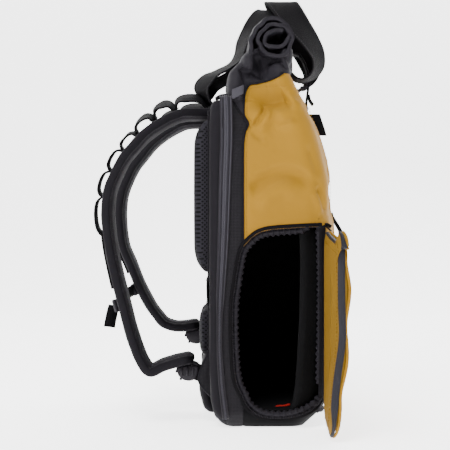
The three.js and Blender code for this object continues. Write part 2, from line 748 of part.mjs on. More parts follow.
// The rolled end, a spiral band that starts at the back of the throat
function addRoll() {
  const steps = Math.round(20 * ROLL_TURNS);
  const outer = [];
  const inner = [];
  for (let i = 0; i <= steps; i += 1) {
    const turns = (i / steps) * ROLL_TURNS;
    const angle = ROLL_START - turns * 2 * Math.PI;
    const tail = ROLL_TAIL * Math.max(0, 1 - turns * ROLL_TAIL_TURNS) ** 2;
    const radius = ROLL_RADIUS - (ROLL_BAND + ROLL_GAP) * turns + tail;
    outer.push([radius * Math.cos(angle), radius * Math.sin(angle)]);
    inner.push([(radius - ROLL_BAND) * Math.cos(angle), (radius - ROLL_BAND) * Math.sin(angle)]);
  }
  const lowest = Math.min(...outer.map(([, z]) => z));
  const rise = THROAT_TOP + GAP - lowest;
  const outline = [...outer, ...inner.reverse()].map(([x, z]) => [ROLL_X + x, rise + z]);
  addPiece('roll_top', sidePrism(outline, -ROLL_HALF, ROLL_HALF), 'black');
}

// A point of a handle. A row without a place ahead lies on the front of the bag.
function handlePoint(row, side) {
  const y = row.side * HANDLE_SPREAD;
  const z = row.up * HANDLE_PEAK;
  const level = rowAt(z);
  const skin = GAP + HANDLE_THICKNESS / 2;
  const flat = level.half * HALF_WIDTH - level.corner * CORNER_RADIUS;
  const front = level.front * FRONT_DEPTH + level.crown * FRONT_CROWN * (1 - (y / flat) ** 2);
  return vec('ahead' in row ? row.ahead * HANDLE_REACH : front + skin, side * y, z);
}

// A handle from the near side over its peak to the far side, from the rows of its near half
function handle(name, rows) {
  const place = (row, side) => ({
    at: handlePoint(row, side),
    across: vec(-Math.sin(row.turn), side * Math.cos(row.turn), 0),
    width: HANDLE_WIDTH,
    thick: HANDLE_THICKNESS,
  });
  const near = rows.map((row) => place(row, -1));
  const far = rows.slice(0, -1).map((row) => place(row, 1)).reverse();
  const loop = ribbon(stations([...near, ...far], HANDLE_STEPS), FLAT);
  addPiece(name, seated(toSolid(loop)), 'webbing');
}

addOpeningEdge();
addDoor();
addRoll();
handle('front_handle', FRONT_HANDLE);
handle('back_handle', BACK_HANDLE);

// A pad on the rear of the harness section, with rounded ends and an air channel if it has one
function backPad(name, pad, finish) {
  const rings = PAD_LEVELS.map(({ up, swell }) => {
    const z = pad.low + up * (pad.high - pad.low);
    const root = -rowAt(z).back * REAR_DEPTH;
    const outer = root - GAP - swell * pad.thickness;
    const half = pad.half - (1 - swell) * PAD_ROUND;
    const groove = outer + swell * pad.groove;
    const halfRing = [
      [root, half],
      [outer + swell * PAD_ROUND / 2, half],
      [outer, half - PAD_ROUND],
      [outer, pad.channel],
      [groove, pad.channel - PAD_ROUND / 2],
    ];
    const far = halfRing.map(([x, y]) => vec(x, y, z));
    const near = halfRing.map(([x, y]) => vec(x, -y, z)).reverse();
    return [...far, ...near];
  });
  const padSolid = toSolid(loft(rings));
  addPiece(name, seated(padSolid), finish);
  return padSolid;
}

// The gusset that carries the lower webbing, one on each side
function lowerWing(name, side) {
  const outline = WING_EDGE.map(({ out, up }) => [-REAR_DEPTH - out * WING_REACH, up * WING_HEIGHT]);
  const [near, far] = [WING_Y, WING_Y + WALL].map((y) => side * y).sort((a, b) => a - b);
  const wing = toSolid(sidePrism([[0, WING_HEIGHT / 2], ...outline], near, far));
  addPiece(name, seated(wing), 'black');
  return wing;
}

// Shoulder straps: rows give how far out and down the strap is, as shares of its reach and drop
function strapRows(lower, side) {
  return [...STRAP_UPPER, ...lower].map((row) => ({
    at: vec(
      -REAR_DEPTH - GAP - row.out * STRAP_REACH,
      side * row.side * STRAP_SPREAD,
      STRAP_TOP - row.drop * STRAP_DROP,
    ),
    across: vec(0, -1, 0),
    width: STRAP_WIDTH * row.wide,
    thick: STRAP_THICKNESS,
  }));
}

// A station on the outer face of a strap, lifted by a distance
function onStrap(rows, place, lift, width, thick) {
  const path = strapPath(rows);
  const station = stationAt(path, rows, place / (rows.length - 1));
  const away = station.thick / 2 + GAP + thick / 2 + lift;
  return { ...station, at: station.at.addScaledVector(station.out, away), width, thick };
}

function addStrap(name, rows) {
  const strap = toSolid(ribbon(stations(rows, STRAP_STEPS), PADDED));
  addPiece(name, seated(strap), 'black');
  return strap;
}

// Webbing sewn down the strap, standing up in an open loop between each pair of tacks
function addStrapLoops(name, rows) {
  const line = [];
  for (let loop = 0; loop < LOOP_COUNT; loop += 1) {
    LOOP_ARCH.forEach(({ along, rise }) => {
      const place = LOOPS_FROM + (loop + along) * LOOP_PITCH;
      line.push(onStrap(rows, place, rise * LOOP_RISE, LOOP_WIDTH, WEB_THICKNESS));
    });
  }
  for (let step = 0; step <= LOOP_TAIL_STEPS; step += 1) {
    const place = LOOPS_FROM + LOOP_COUNT * LOOP_PITCH + (step * LOOP_TAIL) / LOOP_TAIL_STEPS;
    line.push(onStrap(rows, place, 0, LOOP_WIDTH, WEB_THICKNESS));
  }
  addPiece(name, ribbon(line, FLAT), 'webbing');
}

// A short straight piece along a station's direction
function bar(station, length, section) {
  const ends = [-0.5, 0.5].map((share) => ({
    ...station,
    at: station.at.clone().addScaledVector(station.along, share * length),
  }));
  return ribbon(ends, section);
}

// Chest strap between the two straps: sliders, webbing, a closed buckle and a hanging tail
function addChestStrap(nearRows, farRows, straps) {
  const clips = [nearRows, farRows].map((rows) => (
    onStrap(rows, CHEST_PLACE, 0, SLIDER_WIDTH, SLIDER_THICKNESS)
  ));
  const sliders = clips.map((clip) => bar(clip, SLIDER_LENGTH, PADDED));
  addPiece('sternum_slider_near', sliders[0], 'plastic');
  addPiece('sternum_slider_far', sliders[1], 'plastic');
  const [near, far] = clips.map((clip, i) => (
    clip.at.clone().add(vec(0, (i === 0 ? 1 : -1) * (SLIDER_WIDTH / 2 + GAP), 0))
  ));
  const middle = near.clone().lerp(far, 0.5).add(vec(-CHEST_BOW, 0, 0));
  const row = (at, width, thick) => ({ at, across: vec(0, 0, 1), width, thick });
  const buckleHalf = vec(0, BUCKLE_LENGTH / 2, 0);
  const buckle = [-1, 1].map((side) => (
    row(middle.clone().addScaledVector(buckleHalf, side), BUCKLE_WIDTH, BUCKLE_THICKNESS)
  ));
  const clasp = ribbon(stations(buckle, 2), PADDED);
  addPiece('sternum_buckle', clasp, 'plastic');
  const solids = [clasp, ...sliders].map(toSolid);
  [['sternum_strap_near', near, -1], ['sternum_strap_far', far, 1]].forEach(([name, from, side]) => {
    const to = middle.clone().add(vec(0, side * (BUCKLE_LENGTH / 2 + GAP), 0));
    const rows = [from, from.clone().lerp(to, 0.5).add(vec(-CHEST_BOW / 4, 0, 0)), to];
    const line = stations(rows.map((at) => row(at, CHEST_WIDTH, WEB_THICKNESS)), 6);
    const web = clearOf(toSolid(ribbon(line, FLAT)), [...solids, ...straps]);
    addPiece(name, toGeometry(web), 'webbing');
  });
  const clip = clips[0];
  const hung = clip.at.clone()
    .addScaledVector(clip.out, SLIDER_THICKNESS / 2 + GAP + WEB_THICKNESS / 2);
  const tail = TAIL_DROP.map(({ out, drop }) => ({
    at: hung.clone().add(vec(-out * TAIL_LENGTH, 0, -drop * TAIL_LENGTH)),
    across: vec(0, -1, 0),
    width: CHEST_WIDTH,
    thick: WEB_THICKNESS,
  }));
  addPiece('sternum_tail', ribbon(stations(tail, 6), FLAT), 'webbing');
}

// The buckle under a strap's lower end, and the webbing from it to the bag
function addStrapEnd(suffix, rows, strap, wing, side) {
  const middle = rows.at(-2).at.clone().lerp(rows.at(-1).at, 0.5);
  const top = middle.z - STRAP_THICKNESS / 2 + LOCK_SINK;
  const outline = LOCK_EDGE.map(({ along, down }) => [
    middle.x + along * LOCK_LENGTH,
    top - down * LOCK_HEIGHT,
  ]);
  const [low, high] = [middle.y - LOCK_WIDTH / 2, middle.y + LOCK_WIDTH / 2];
  const lock = clearOf(toSolid(sidePrism(outline, low, high)), [strap, lumbarPad, lowerPad]);
  addPiece(`ladder_lock_${suffix}`, toGeometry(lock), 'plastic');
  const lockZ = top - LOCK_HEIGHT / 2;
  const from = vec(middle.x + LOCK_LENGTH / 4, middle.y + side * LOCK_WIDTH / 4, lockZ);
  const wingY = side * (WING_Y - WEB_THICKNESS);
  const to = vec(-REAR_DEPTH - WING_REACH / 3, wingY, (lockZ + WING_WEB_Z) / 2);
  const line = [from, to].map((at) => (
    { at, across: vec(0, 0, 1), width: WEB_WIDTH, thick: WEB_THICKNESS }
  ));
  const web = clearOf(toSolid(ribbon(stations(line, 4), FLAT)), [lock, wing, strap, lowerPad]);
  addPiece(`lower_webbing_${suffix}`, seated(web), 'webbing');
}

// A flat band round the side, top and far side of the harness section
function addLaptopZip() {
  const lift = GAP + LAPTOP_ZIP.thickness / 2;
  const side = LAPTOP_ZIP_RUN.map(({ x, up }) => {
    const z = up * FRAME_TOP;
    return { x: x * LAPTOP_ZIP.x, y: sideY(x * LAPTOP_ZIP.x, z) + lift, z };
  });
  const { x: topX, corner } = LAPTOP_ZIP;
  const edge = side.at(-1).y;
  const topZ = FRAME_TOP + lift;
  const near = [
    ...side,
    { x: topX, y: edge, z: FRAME_TOP - lift },
    { x: topX, y: edge - corner, z: topZ },
    { x: topX, y: (edge - corner) / 2, z: topZ },
  ];
  const rows = [
    ...near.map(({ x, y, z }) => vec(x, -y, z)),
    ...near.map(({ x, y, z }) => vec(x, y, z)).reverse(),
  ].map((at) => ({
    at,
    across: vec(-1, 0, 0),
    width: LAPTOP_ZIP.width,
    thick: LAPTOP_ZIP.thickness,
  }));
  addPiece('laptop_zip', seated(toSolid(ribbon(stations(rows, 3 * rows.length), RIDGED))), 'zip');
}

// Small pieces on the sides and front

function addCollarTab() {
  const outline = TAB_EDGE.map(({ along, up }) => [
    TAB_X + along * TAB_LENGTH,
    TAB_Z + up * TAB_HEIGHT,
  ]);
  const side = sideY(TAB_X + TAB_LENGTH / 2, TAB_Z);
  const plate = toSolid(sidePrism(outline, -side - TAB_PROUD, -side + TAB_HEIGHT));
  addPiece('collar_tab', seated(plate), 'plastic');
}

function addZipSlider() {
  const foot = DOOR_FLOOR + DOOR_HEIGHT + DOOR_ZIP + GAP;
  const head = foot + SLIDER_THICKNESS;
  const outline = [[DOOR_X, foot], [DOOR_X, head], [DOOR_X + SLIDER_THICKNESS, head],
    [DOOR_X + 2 * SLIDER_THICKNESS, foot]];
  const side = sideY(DOOR_X + SLIDER_THICKNESS, foot);
  const block = toSolid(sidePrism(outline, -side - SLIDER_THICKNESS, SLIDER_THICKNESS - side));
  addPiece('zip_slider', seated(block), 'plastic');
}

function addLiningTab() {
  const { x, y, length, width, thickness } = LINING_TAB;
  const z = LINER_FLOOR + GAP + thickness / 2;
  const rows = [0, 0.5, 1].map((share) => ({
    at: vec(x + share * length, y, z + share * share * thickness),
    across: vec(0, 1, 0),
    width,
    thick: thickness,
  }));
  addPiece('lining_tab', ribbon(stations(rows, 4), FLAT), 'red');
}

function addFrontHardware() {
  const web = (at, width) => ({ at, across: vec(0, -1, 0), width, thick: WEB_THICKNESS });
  const skin = GAP + WEB_THICKNESS / 2;
  const rollFront = ROLL_X + ROLL_RADIUS - ROLL_GAP + skin;
  const strapFoot = CLOSURE_FOOT * BODY_HEIGHT;
  const rise = THROAT_TOP + ROLL_RADIUS - strapFoot;
  const footX = frontX(strapFoot) + skin;
  const strap = CLOSURE_RUN.map(({ out, up }) => (
    web(vec(footX + out * (footX - rollFront), 0, strapFoot + up * rise), CLOSURE_WIDTH)
  ));
  addPiece('closure_strap', ribbon(stations(strap, 16), FLAT), 'webbing');
  const hookX = strap[2].at.x - 1.25 * skin - HOOK.radius;
  const hookZ = strapFoot + HOOK.up * rise;
  const [from, to] = [-0.8 * Math.PI, 0.6 * Math.PI];
  const hook = [
    ...cornerArc(hookX, hookZ, HOOK.radius, from, to, 10),
    ...cornerArc(hookX, hookZ, HOOK.radius - HOOK.bar, to, from, 10),
  ];
  addPiece('closure_hook', sidePrism(hook, -HOOK.width / 2, HOOK.width / 2), 'plastic');
  const tail = TAIL_DROP.map(({ out, drop }) => web(vec(
    footX + 1.3 * skin + out * TAIL_LENGTH,
    0,
    strapFoot + CLOSURE_TAIL_UP * rise - drop * TAIL_LENGTH / 2,
  ), CLOSURE_WIDTH));
  addPiece('closure_tail', ribbon(stations(tail, 6), FLAT), 'webbing');
  const loopZs = [0, 0.33, 0.67, 1].map((share) => GEAR_LOOP.foot + share * GEAR_LOOP.height);
  const inner = loopZs.map((z) => [frontX(z) + 3 * GAP, z]);
  const outer = loopZs.map((z) => [frontX(z) + GEAR_LOOP.reach, z]).reverse();
  const half = GEAR_LOOP.thickness / 2;
  addPiece('gear_loop', sidePrism([...inner, ...outer], -half, half), 'webbing');
  const pullX = frontX(PULL_TOP) + GAP + PULL_THICKNESS / 2;
  const pull = PULL_RUN.map(({ out, drop }) => ({
    ...web(vec(pullX + out * PULL_LENGTH, 0, PULL_TOP - drop * PULL_LENGTH), PULL_WIDTH),
    thick: PULL_THICKNESS,
  }));
  addPiece('front_pull', seated(toSolid(ribbon(stations(pull, 8), PADDED))), 'webbing');
}

backPad('back_pad', UPPER_PAD, 'mesh');
const lumbarPad = backPad('lumbar_pad', LUMBAR_PAD, 'mesh');
const lowerPad = backPad('lower_pad', LOWER_PAD, 'black');
backPad('luggage_sleeve', SLEEVE, 'black');
const nearWing = lowerWing('lower_wing_near', -1);
const farWing = lowerWing('lower_wing_far', 1);

const nearRows = strapRows(STRAP_NEAR_LOWER, -1);
const farRows = strapRows(STRAP_FAR_LOWER, 1);
const nearStrap = addStrap('shoulder_strap_near', nearRows);
const farStrap = addStrap('shoulder_strap_far', farRows);
addStrapLoops('strap_loops_near', nearRows);
addStrapLoops('strap_loops_far', farRows);
addChestStrap(nearRows, farRows, [nearStrap, farStrap]);
addStrapEnd('near', nearRows, nearStrap, nearWing, -1);
addStrapEnd('far', farRows, farStrap, farWing, 1);
addLaptopZip();
addCollarTab();
addZipSlider();
addLiningTab();
addFrontHardware();

export default bag;
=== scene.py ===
"""A camera backpack with a rolled top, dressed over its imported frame.

The frame is in metres and the patterns below are in millimetres, both with +X to the front of
the bag, -X to the wearer's back, -Y to the side with the open door and the origin in the
middle of the base.
"""

import math

import bpy
import numpy as np
from bpy.props import FloatProperty, FloatVectorProperty, PointerProperty
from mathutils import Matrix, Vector, noise


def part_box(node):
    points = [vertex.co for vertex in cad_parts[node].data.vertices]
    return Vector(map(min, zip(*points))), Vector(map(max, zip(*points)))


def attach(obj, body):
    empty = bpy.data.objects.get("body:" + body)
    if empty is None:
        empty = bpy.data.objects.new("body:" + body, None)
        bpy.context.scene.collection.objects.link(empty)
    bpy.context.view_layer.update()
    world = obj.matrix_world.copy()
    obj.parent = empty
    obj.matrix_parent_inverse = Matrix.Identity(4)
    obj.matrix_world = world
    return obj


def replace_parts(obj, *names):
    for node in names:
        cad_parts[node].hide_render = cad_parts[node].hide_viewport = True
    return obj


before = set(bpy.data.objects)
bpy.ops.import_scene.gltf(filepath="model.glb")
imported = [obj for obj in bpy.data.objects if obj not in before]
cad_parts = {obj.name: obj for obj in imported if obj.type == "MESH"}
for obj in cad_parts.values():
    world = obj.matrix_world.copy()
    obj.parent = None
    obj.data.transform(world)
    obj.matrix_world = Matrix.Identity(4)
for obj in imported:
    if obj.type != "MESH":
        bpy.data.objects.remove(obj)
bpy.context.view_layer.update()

bl_info = {
    "name": "Rolled-top camera backpack",
    "version": (1, 0, 0),
    "blender": (4, 5, 0),
    "location": "3D View > Sidebar > Backpack",
    "description": "Builds the cloth, foam, webbing and fastenings of a camera backpack",
    "category": "Add Mesh",
}

MM = 0.001
QUARTER_TURN = math.pi / 2
FULL_TURN = 2 * math.pi

# Thickness of the coated and of the soft cloths
CLOTH_THICK = 1.8
SOFT_CLOTH_THICK = 1.6

# Body patterns

HEIGHT = 375.0
HALF_WIDTH = 140.0
REAR_DEPTH = 58.0
FRONT_DEPTH = 72.0
FRONT_CROWN = 12.0
CORNER = 26.0
BACK_CORNER = 9.0
SIDE_TUCK = 16.0
SEAM_X = -22.6
BOOT_TOP = 34.0
FRAME_TOP = 348.0

# The two sides, with the sign of their y, and the y below which a point is on the near one
SIDES = (("near", -1), ("far", 1))
NEAR_SIDE = -60

# Level sections of the body: share of the height, then shares of the depths to the back and
# front, half width, corner, crown of the front and tuck of the side
SECTIONS = np.array([
    (0.000, 0.72, 0.57, 0.900, 0.60, 0.5, 0.00),
    (0.018, 0.83, 0.66, 0.955, 0.75, 0.7, 0.00),
    (0.048, 0.93, 0.81, 1.000, 0.90, 0.9, 0.00),
    (0.088, 0.98, 0.90, 1.000, 1.00, 1.0, 0.00),
    (0.250, 1.00, 0.97, 1.000, 1.00, 1.0, 0.00),
    (0.440, 1.00, 1.00, 1.000, 1.00, 1.0, 0.00),
    (0.565, 1.00, 0.98, 1.000, 1.00, 1.0, 0.00),
    (0.620, 1.00, 0.93, 1.000, 1.00, 1.0, 0.00),
    (0.685, 1.00, 0.93, 1.000, 1.00, 1.0, 0.00),
    (0.747, 1.00, 0.88, 0.995, 1.00, 1.0, 0.05),
    (0.805, 1.00, 0.81, 0.985, 0.95, 1.0, 0.15),
    (0.850, 1.00, 0.73, 0.975, 0.90, 1.0, 0.30),
    (0.900, 0.98, 0.63, 0.960, 0.80, 0.9, 0.25),
    (0.920, 0.93, 0.59, 0.950, 0.75, 0.8, 0.25),
    (0.928, 0.68, 0.56, 0.945, 0.70, 0.7, 0.30),
    (0.976, 0.67, 0.43, 0.925, 0.60, 0.5, 0.55),
    (1.000, 0.64, 0.39, 0.915, 0.50, 0.3, 0.75),
    (1.022, 0.53, 0.40, 0.905, 0.45, 0.1, 0.90),
    (1.045, 0.42, 0.41, 0.895, 0.40, 0.0, 0.95),
    (1.075, 0.26, 0.43, 0.885, 0.36, 0.0, 1.00),
])

# Rear and upper edge of the coloured cloth, as x and z seen from the side
SHELL_EDGE = [
    (SEAM_X, -50), (SEAM_X, 296), (-19.4, 314), (-17.0, 321), (-21.7, 330), (-21.7, 344),
    (-20.3, 354.4), (-16.0, 363), (-6.1, 364.9), (12.0, 370.1), (19.9, 375), (160, 375), (160, -50),
]

# Edge of the side opening, from the hinge's foot round the free side to the hinge's top
OPENING = [
    (60.0, 31.1), (52.5, 21.9), (39.3, 15.6), (26.2, 12.0), (12.1, 11.0), (-1.1, 12.6),
    (-10.5, 16.6), (-19.4, 24.7), (-23.7, 34.1), (-31.2, 53.2), (-34.0, 93.4), (-34.0, 128.6),
    (-31.7, 148.7), (-27.4, 175.8), (-23.2, 189.9), (-14.3, 199.9), (-5.3, 206.0), (8.3, 209.0),
    (36.5, 211.0), (60.0, 212.0),
]


def blended(columns, at):
    """Every column of a table at some values of its first one, on a curve that never overshoots."""
    x, y = columns[:, 0], columns[:, 1:]
    step = np.diff(x)[:, None]
    slope = np.diff(y, axis=0) / step
    both = slope[:-1] * slope[1:]
    inner = np.where(both > 0, 2 * both / (slope[:-1] + slope[1:] + 1e-12), 0)
    tangent = np.vstack([slope[:1], inner, slope[-1:]])
    at = np.clip(np.asarray(at, float), x[0], x[-1])
    i = np.clip(np.searchsorted(x, at) - 1, 0, len(x) - 2)
    h = step[i]
    t = ((at - x[i]) / h[..., 0])[..., None]
    return (
        (1 + 2 * t) * (1 - t) ** 2 * y[i] + t * (1 - t) ** 2 * h * tangent[i]
        + t * t * (3 - 2 * t) * y[i + 1] + t * t * (t - 1) * h * tangent[i + 1]
    )


def ease(value, low, high):
    """0 below low and 1 above high, with a smooth step between them."""
    t = np.clip((np.asarray(value, float) - low) / (high - low), 0, 1)
    return t * t * (3 - 2 * t)


def level(z):
    """Sizes of the body's section at heights z: back, front, half width, corner, crown, tuck."""
    back, front, half, corner, crown, tuck = np.moveaxis(
        blended(SECTIONS, np.asarray(z, float) / HEIGHT), -1, 0
    )
    return (
        -back * REAR_DEPTH, front * FRONT_DEPTH, half * HALF_WIDTH,
        corner * CORNER, crown * FRONT_CROWN, tuck * SIDE_TUCK,
    )


def side_y(x, z):
    """How far the side of the body stands from the middle plane."""
    back, front, half, corner, _, tuck = level(z)
    x = np.asarray(x, float)
    start, end = back + BACK_CORNER, front - corner
    share = np.clip((x - start) / (end - start), 0, 1)
    side = half - tuck * ease(share, 0, 0.3) * ease(1 - share, 0, 0.3)
    round_front = np.sqrt(np.clip(corner**2 - (x - end) ** 2, 0, None)) + half - corner
    round_back = np.sqrt(np.clip(BACK_CORNER**2 - (start - x) ** 2, 0, None)) + half - BACK_CORNER
    return np.where(x > end, round_front, np.where(x < start, round_back, side))


def front_x(y, z):
    """Where the front of the body is, for places on its front panel."""
    _, front, half, corner, crown, _ = level(z)
    share = np.clip(np.abs(y) / (half - corner), 0, 1)
    return front + crown * (1 - share**2)


def body_rings(heights, back_steps=30, side_steps=64, front_steps=52):
    """Level rings of points round the body, from the middle of the back over the near side."""
    z = np.asarray(heights, float)[:, None]
    back, front, half, corner, crown, tuck = level(z)
    start, end = back + BACK_CORNER, front - corner
    rear = np.linspace(0, 1, back_steps, endpoint=False)[None]
    turn = np.linspace(0, QUARTER_TURN, 9)[None, :-1]
    side = np.linspace(0, 1, side_steps, endpoint=False)[None]
    bend = np.linspace(0, QUARTER_TURN, 23)[None, :-1]
    face = np.linspace(1, 0, front_steps)[None]
    x = np.hstack([
        back * np.ones_like(rear),
        start - BACK_CORNER * np.cos(turn),
        start + (end - start) * side,
        end + corner * np.sin(bend),
        front + crown * (1 - face**2),
    ])
    y = np.hstack([
        (half - BACK_CORNER) * rear,
        half - BACK_CORNER + BACK_CORNER * np.sin(turn),
        half - tuck * ease(side, 0, 0.3) * ease(1 - side, 0, 0.3),
        half - corner + corner * np.cos(bend),
        (half - corner) * face,
    ])
    near = np.stack([x, -y, z * np.ones_like(x)], -1)
    far = near[:, -2:0:-1] * (1, -1, 1)
    return np.concatenate([near, far], axis=1)


# Measures on the patterns

def distance_to(points, line):
    """Distance from flat points to a flat line of corners."""
    p = np.asarray(points, float).reshape(-1, 1, 2)
    a, b = np.asarray(line[:-1], float), np.asarray(line[1:], float)
    along = b - a
    share = ((p - a) * along).sum(-1) / np.maximum((along**2).sum(-1), 1e-9)
    near = a + np.clip(share, 0, 1)[..., None] * along
    return np.sqrt(((p - near) ** 2).sum(-1)).min(1)


def inside(points, outline):
    """Which flat points lie in a closed outline."""
    x, z = np.asarray(points, float).reshape(-1, 2).T
    found = np.zeros(len(x), bool)
    for (ax, az), (bx, bz) in zip(outline, outline[1:] + outline[:1]):
        if az == bz:
            continue
        crosses = ((az > z) != (bz > z)) & (x < (bx - ax) * (z - az) / (bz - az) + ax)
        found ^= crosses
    return found


def signed(points, outline):
    """Distance to a closed outline, below zero inside it."""
    gap = distance_to(points, outline + outline[:1])
    return np.where(inside(points, outline), -gap, gap)


def rounded(points, steps=6, closed=False):
    """A smooth line through the points."""
    p = [np.asarray(q, float) for q in points]
    if closed:
        p = [p[-1], *p, p[0], p[1]]
    else:
        p = [2 * p[0] - p[1], *p, 2 * p[-1] - p[-2]]
    line = []
    for a, b, c, d in zip(p, p[1:], p[2:], p[3:]):
        for t in np.linspace(0, 1, steps, endpoint=False):
            line.append(0.5 * (
                2 * b + (c - a) * t + (2 * a - 5 * b + 4 * c - d) * t**2
                + (3 * b - a - 3 * c + d) * t**3
            ))
    if not closed:
        line.append(p[-2])
    return np.array(line)


def even(line, pitch):
    """A line of points taken again at an even pitch."""
    line = np.asarray(line, float)
    run = np.r_[0, np.cumsum(np.linalg.norm(np.diff(line, axis=0), axis=1))]
    count = max(2, int(round(run[-1] / pitch)) + 1)
    at = np.linspace(0, run[-1], count)
    return np.stack([np.interp(at, run, line[:, k]) for k in range(line.shape[1])], 1)


def unit(ways):
    """Directions brought to a length of one."""
    return ways / np.maximum(np.linalg.norm(ways, axis=-1, keepdims=True), 1e-9)


def upright(flat, y):
    """Points over a flat line of x and z, at the places y across the bag."""
    return np.stack([flat[:, 0], np.broadcast_to(y, len(flat)), flat[:, 1]], 1)


def grown(line, share):
    """A line made larger or smaller about its middle."""
    middle = line.mean(0)
    return middle + (line - middle) * share


def folds(points, lines):
    """Height of soft folds over flat points. A line gives its corners, half width and height,
    and it fades towards its two ends."""
    total = np.zeros(len(points))
    for corners, width, height in lines:
        line = even(rounded(corners), 3)
        gap = distance_to(points, line)
        ends = np.minimum(
            np.linalg.norm(points - line[0], axis=1), np.linalg.norm(points - line[-1], axis=1)
        )
        total += height * np.exp(-((gap / width) ** 2)) * ease(ends, 0, 2.5 * width)
    return total


def ripple(points, size, seed):
    """Gentle unevenness between -1 and 1 over points in space."""
    offset = Vector((seed * 7.3, seed * 3.1, seed * 5.7))
    return np.array([noise.noise(Vector(p) / size + offset) for p in points])


# Meshes

def new_piece(name, shape, finish, slot, *nodes):
    """A mesh piece from points in millimetres and their faces, riding on the bag. It stands for
    the nodes that are named."""
    points, faces = shape
    mesh = bpy.data.meshes.new(name)
    mesh.from_pydata((np.asarray(points) * MM).tolist(), [], [list(map(int, f)) for f in faces])
    mesh.validate()
    mesh.polygons.foreach_set("use_smooth", [True] * len(mesh.polygons))
    return linked(name, mesh, finish, slot, *nodes)


def linked(name, mesh, finish, slot, *nodes):
    """A mesh as a piece of the bag, in its finish, in place of the nodes that are named."""
    mesh.materials.append(finishes()[finish])
    piece = bpy.data.objects.new(name, mesh)
    bpy.context.scene.collection.objects.link(piece)
    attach(piece, "root")
    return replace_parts(piece, *nodes) if nodes else piece


def add_modifier(piece, kind, **settings):
    """Adds a modifier with its settings and applies it."""
    modifier = piece.modifiers.new(kind.title(), kind)
    for key, value in settings.items():
        setattr(modifier, key, value)
    with bpy.context.temp_override(object=piece, active_object=piece, selected_objects=[piece]):
        bpy.ops.object.modifier_apply(modifier=modifier.name)
    return piece


def thickened(piece, thickness, offset=0):
    """Gives a skin a thickness in millimetres, inwards at an offset of -1 and outwards at 1."""
    return add_modifier(piece, "SOLIDIFY", thickness=thickness * MM, offset=offset)


def grid_faces(rows, columns, round_columns=False):
    """Quads over a grid of points."""
    wide = columns if round_columns else columns - 1
    i, j = np.meshgrid(np.arange(rows - 1), np.arange(wide), indexing="ij")
    below, above = i * columns, (i + 1) * columns
    right = (j + 1) % columns
    return np.stack([below + j, below + right, above + right, above + j], -1).reshape(-1, 4)


def grid_normals(grid, round_columns):
    """Directions out of a grid of points."""
    if round_columns:
        across = np.roll(grid, -1, 1) - np.roll(grid, 1, 1)
    else:
        across = np.gradient(grid, axis=1)
    return unit(np.cross(across, np.gradient(grid, axis=0)))


def trimmed(points, faces, field):
    """The part of a quad mesh where the field is below zero, cut where it is zero."""
    quads = np.asarray(faces)
    triangles = np.vstack([quads[:, [0, 1, 2]], quads[:, [0, 2, 3]]])
    kept = field < 0
    count = kept[triangles].sum(1)
    result = triangles[count == 3].tolist()
    points = list(map(tuple, points))
    cuts = {}

    def cut(a, b):
        key = (min(a, b), max(a, b))
        if key not in cuts:
            share = field[a] / (field[a] - field[b])
            share = min(max(share, 0.02), 0.98)
            cuts[key] = len(points)
            spot = np.multiply(points[a], 1 - share) + np.multiply(points[b], share)
            points.append(tuple(spot))
        return cuts[key]

    for face in triangles[(count == 1) | (count == 2)]:
        corner = []
        for a, b in zip(face, np.roll(face, -1)):
            if kept[a]:
                corner.append(int(a))
            if kept[a] != kept[b]:
                corner.append(cut(int(a), int(b)))
        result.append(corner)
    used = sorted({i for f in result for i in f})
    place = {old: new for new, old in enumerate(used)}
    return np.array([points[i] for i in used]), [[place[i] for i in f] for f in result]


def panel(name, heights, keep, lift, thickness, finish, slot, node):
    """A cloth panel on the body: the part that keep() takes in, raised by lift() and given a
    thickness inwards."""
    grid = body_rings(heights)
    out = grid_normals(grid, True)
    flat = grid.reshape(-1, 3)
    field = keep(flat)
    raised = flat + out.reshape(-1, 3) * lift(flat, field)[:, None]
    faces = grid_faces(*grid.shape[:2], round_columns=True)
    near = (field[faces] < 0).any(1)
    piece = new_piece(name, trimmed(raised, faces[near], field), finish, slot, node)
    thickened(piece, thickness, -1)


def sheet(grid):
    """A skin over an open grid of points."""
    return grid.reshape(-1, 3), grid_faces(*grid.shape[:2])


def capped(grid):
    """A skin over rings of points, with the last ring closed by one face."""
    rows, columns = grid.shape[:2]
    faces = [list(f) for f in grid_faces(rows, columns, round_columns=True)]
    return grid.reshape(-1, 3), faces + [list(range((rows - 1) * columns, rows * columns))]


def loft(rings):
    """A skin over rings of points, with each end closed by triangles round its middle."""
    grid = np.asarray(rings)
    rows, columns = grid.shape[:2]
    faces = [list(f) for f in grid_faces(rows, columns, round_columns=True)]
    points = np.vstack([grid.reshape(-1, 3), grid[0].mean(0), grid[-1].mean(0)])
    first, last = rows * columns, rows * columns + 1
    base = (rows - 1) * columns
    for j in range(columns):
        k = (j + 1) % columns
        faces.append([first, k, j])
        faces.append([last, base + j, base + k])
    return points, faces


def frames(line, across):
    """Directions along, across and out of a line, with the direction across as given."""
    line = np.asarray(line, float)
    along = unit(np.gradient(line, axis=0))
    across = np.broadcast_to(np.asarray(across, float), line.shape)
    across = unit(across - along * (across * along).sum(1, keepdims=True))
    return along, across, np.cross(along, across)


def ribbon(line, across, width, thick, section=None):
    """A band along a line, with a rounded edge or a section of its own."""
    _, side, out = frames(line, across)
    section = BAND if section is None else section
    count = len(line)
    width = np.broadcast_to(np.asarray(width, float), (count,))[:, None, None]
    thick = np.broadcast_to(np.asarray(thick, float), (count,))[:, None, None]
    u, v = np.asarray(section, float).T
    rings = (
        np.asarray(line)[:, None] + side[:, None] * u[None, :, None] * width
        + out[:, None] * v[None, :, None] * thick
    )
    return loft(rings)


def web(name, line, across, width, thick, node):
    """A length of webbing along a line, in place of a node."""
    return new_piece(name, ribbon(line, across, width, thick), "webbing", "webbing", node)


